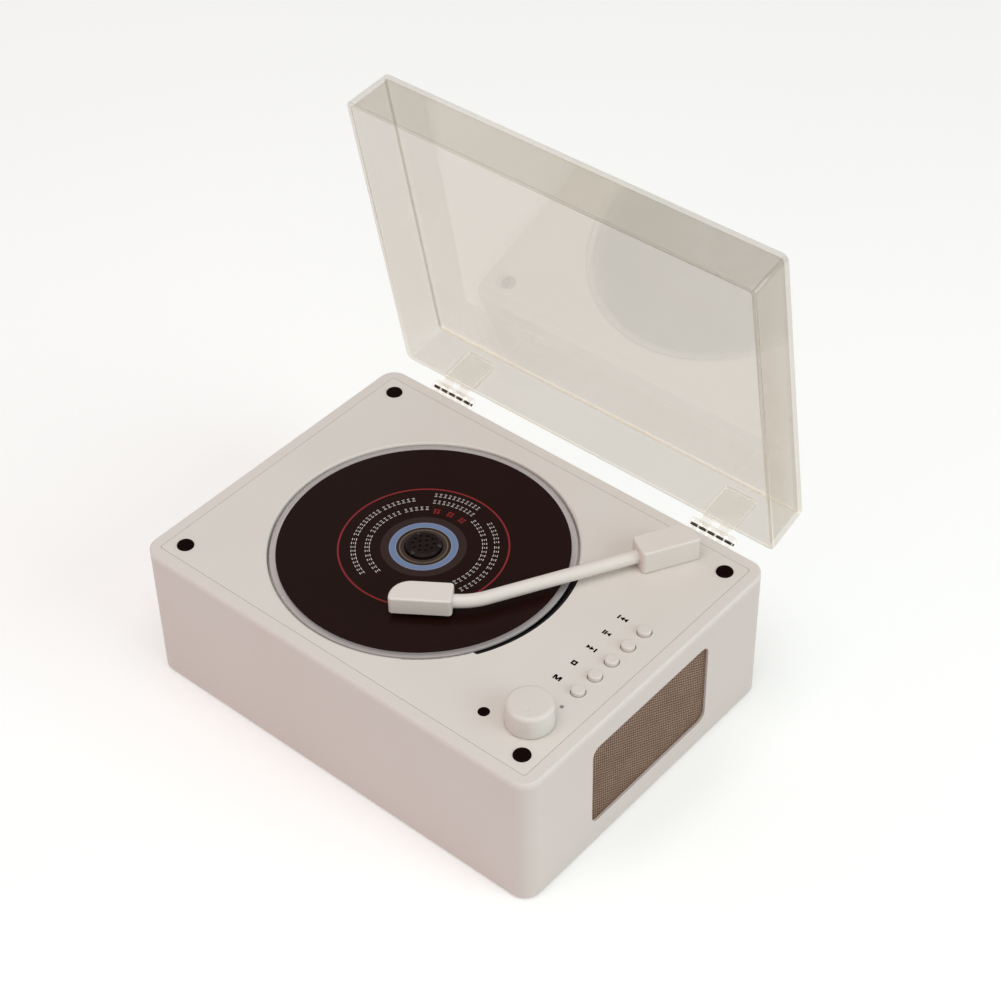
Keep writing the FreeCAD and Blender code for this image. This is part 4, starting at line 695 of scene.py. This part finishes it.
# floor and light
floorLook = {"pale": paint(250, 249, 248), "deep": paint(247, 246, 244), "patch": 1.5, "grain": 900.0,
             "rough": (0.75, 0.9), "shine": 0.1, "depth": 0.00001, "glow": 0.18,
             "radius": 1.6, "ring": 0.8, "sides": 96}
lightSetup = {
    "sky": (1.0, 1.0, 0.99), "skyPower": 0.44, "roomPower": 0.95,
    "lamps": [("topSoft", (0.1, -0.4, 1.65), (0, 0, 0.05), 1.4, 11.5, (1.0, 1.0, 1.0)),
              ("frontSoft", (-0.7, -1.5, 0.9), (0, 0, 0.05), 1.2, 2.5, (1.0, 0.4, 0.38)),
              ("sideSoft", (1.7, 0.3, 0.9), (0, 0, 0.05), 1.2, 11.5, (0.78, 1.0, 1.0))],
}


def seeThrough(tree, shader):    # from below the floor doesn't hide the underside
    side = tree.nodes.new("ShaderNodeNewGeometry")
    clear = tree.nodes.new("ShaderNodeBsdfTransparent")
    both = tree.nodes.new("ShaderNodeMixShader")
    tree.links.new(side.outputs["Backfacing"], both.inputs["Fac"])
    tree.links.new(shader.outputs["BSDF"], both.inputs[1])
    tree.links.new(clear.outputs["BSDF"], both.inputs[2])
    tree.links.new(both.outputs["Shader"], tree.nodes["Material Output"].inputs["Surface"])


def makeFloor(look):
    bm = bmesh.new()
    bmesh.ops.create_circle(bm, cap_ends=True, segments=look["sides"], radius=look["radius"])
    bmesh.ops.inset_region(bm, faces=bm.faces[:], thickness=look["ring"])
    mesh = bpy.data.meshes.new("studioFloor")
    bm.to_mesh(mesh)
    bm.free()
    paper = moulded("floorPaper", look)
    shader = paper.node_tree.nodes["Principled BSDF"]
    shader.inputs["Emission Color"].default_value = look["pale"]
    shader.inputs["Emission Strength"].default_value = look["glow"]    # lifts the backdrop to white
    seeThrough(paper.node_tree, shader)
    mesh.materials.append(paper)
    floor = bpy.data.objects.new("studioFloor", mesh)
    bpy.context.collection.objects.link(floor)


def makeLight(setup):
    world = bpy.data.worlds.new("studioSky")
    bpy.context.scene.world = world
    world.use_nodes = True
    sky = world.node_tree.nodes["Background"]
    sky.inputs["Color"].default_value = (*setup["sky"], 1.0)
    path = world.node_tree.nodes.new("ShaderNodeLightPath")    # the room is white where it is seen past the floor
    power = between(world.node_tree, path.outputs["Is Camera Ray"], setup["skyPower"], setup["roomPower"], 0.0, 1.0)
    world.node_tree.links.new(power, sky.inputs["Strength"])
    for name, place, aim, size, power, colour in setup["lamps"]:
        data = bpy.data.lights.new(name, "AREA")
        data.shape, data.size, data.energy, data.color = "SQUARE", size, power, colour
        lamp = bpy.data.objects.new(name, data)
        lamp.location = place
        lamp.rotation_euler = (Vector(aim) - Vector(place)).to_track_quat("-Z", "Y").to_euler()
        bpy.context.collection.objects.link(lamp)


makeFloor(floorLook)
makeLight(lightSetup)
print("floor and light placed")
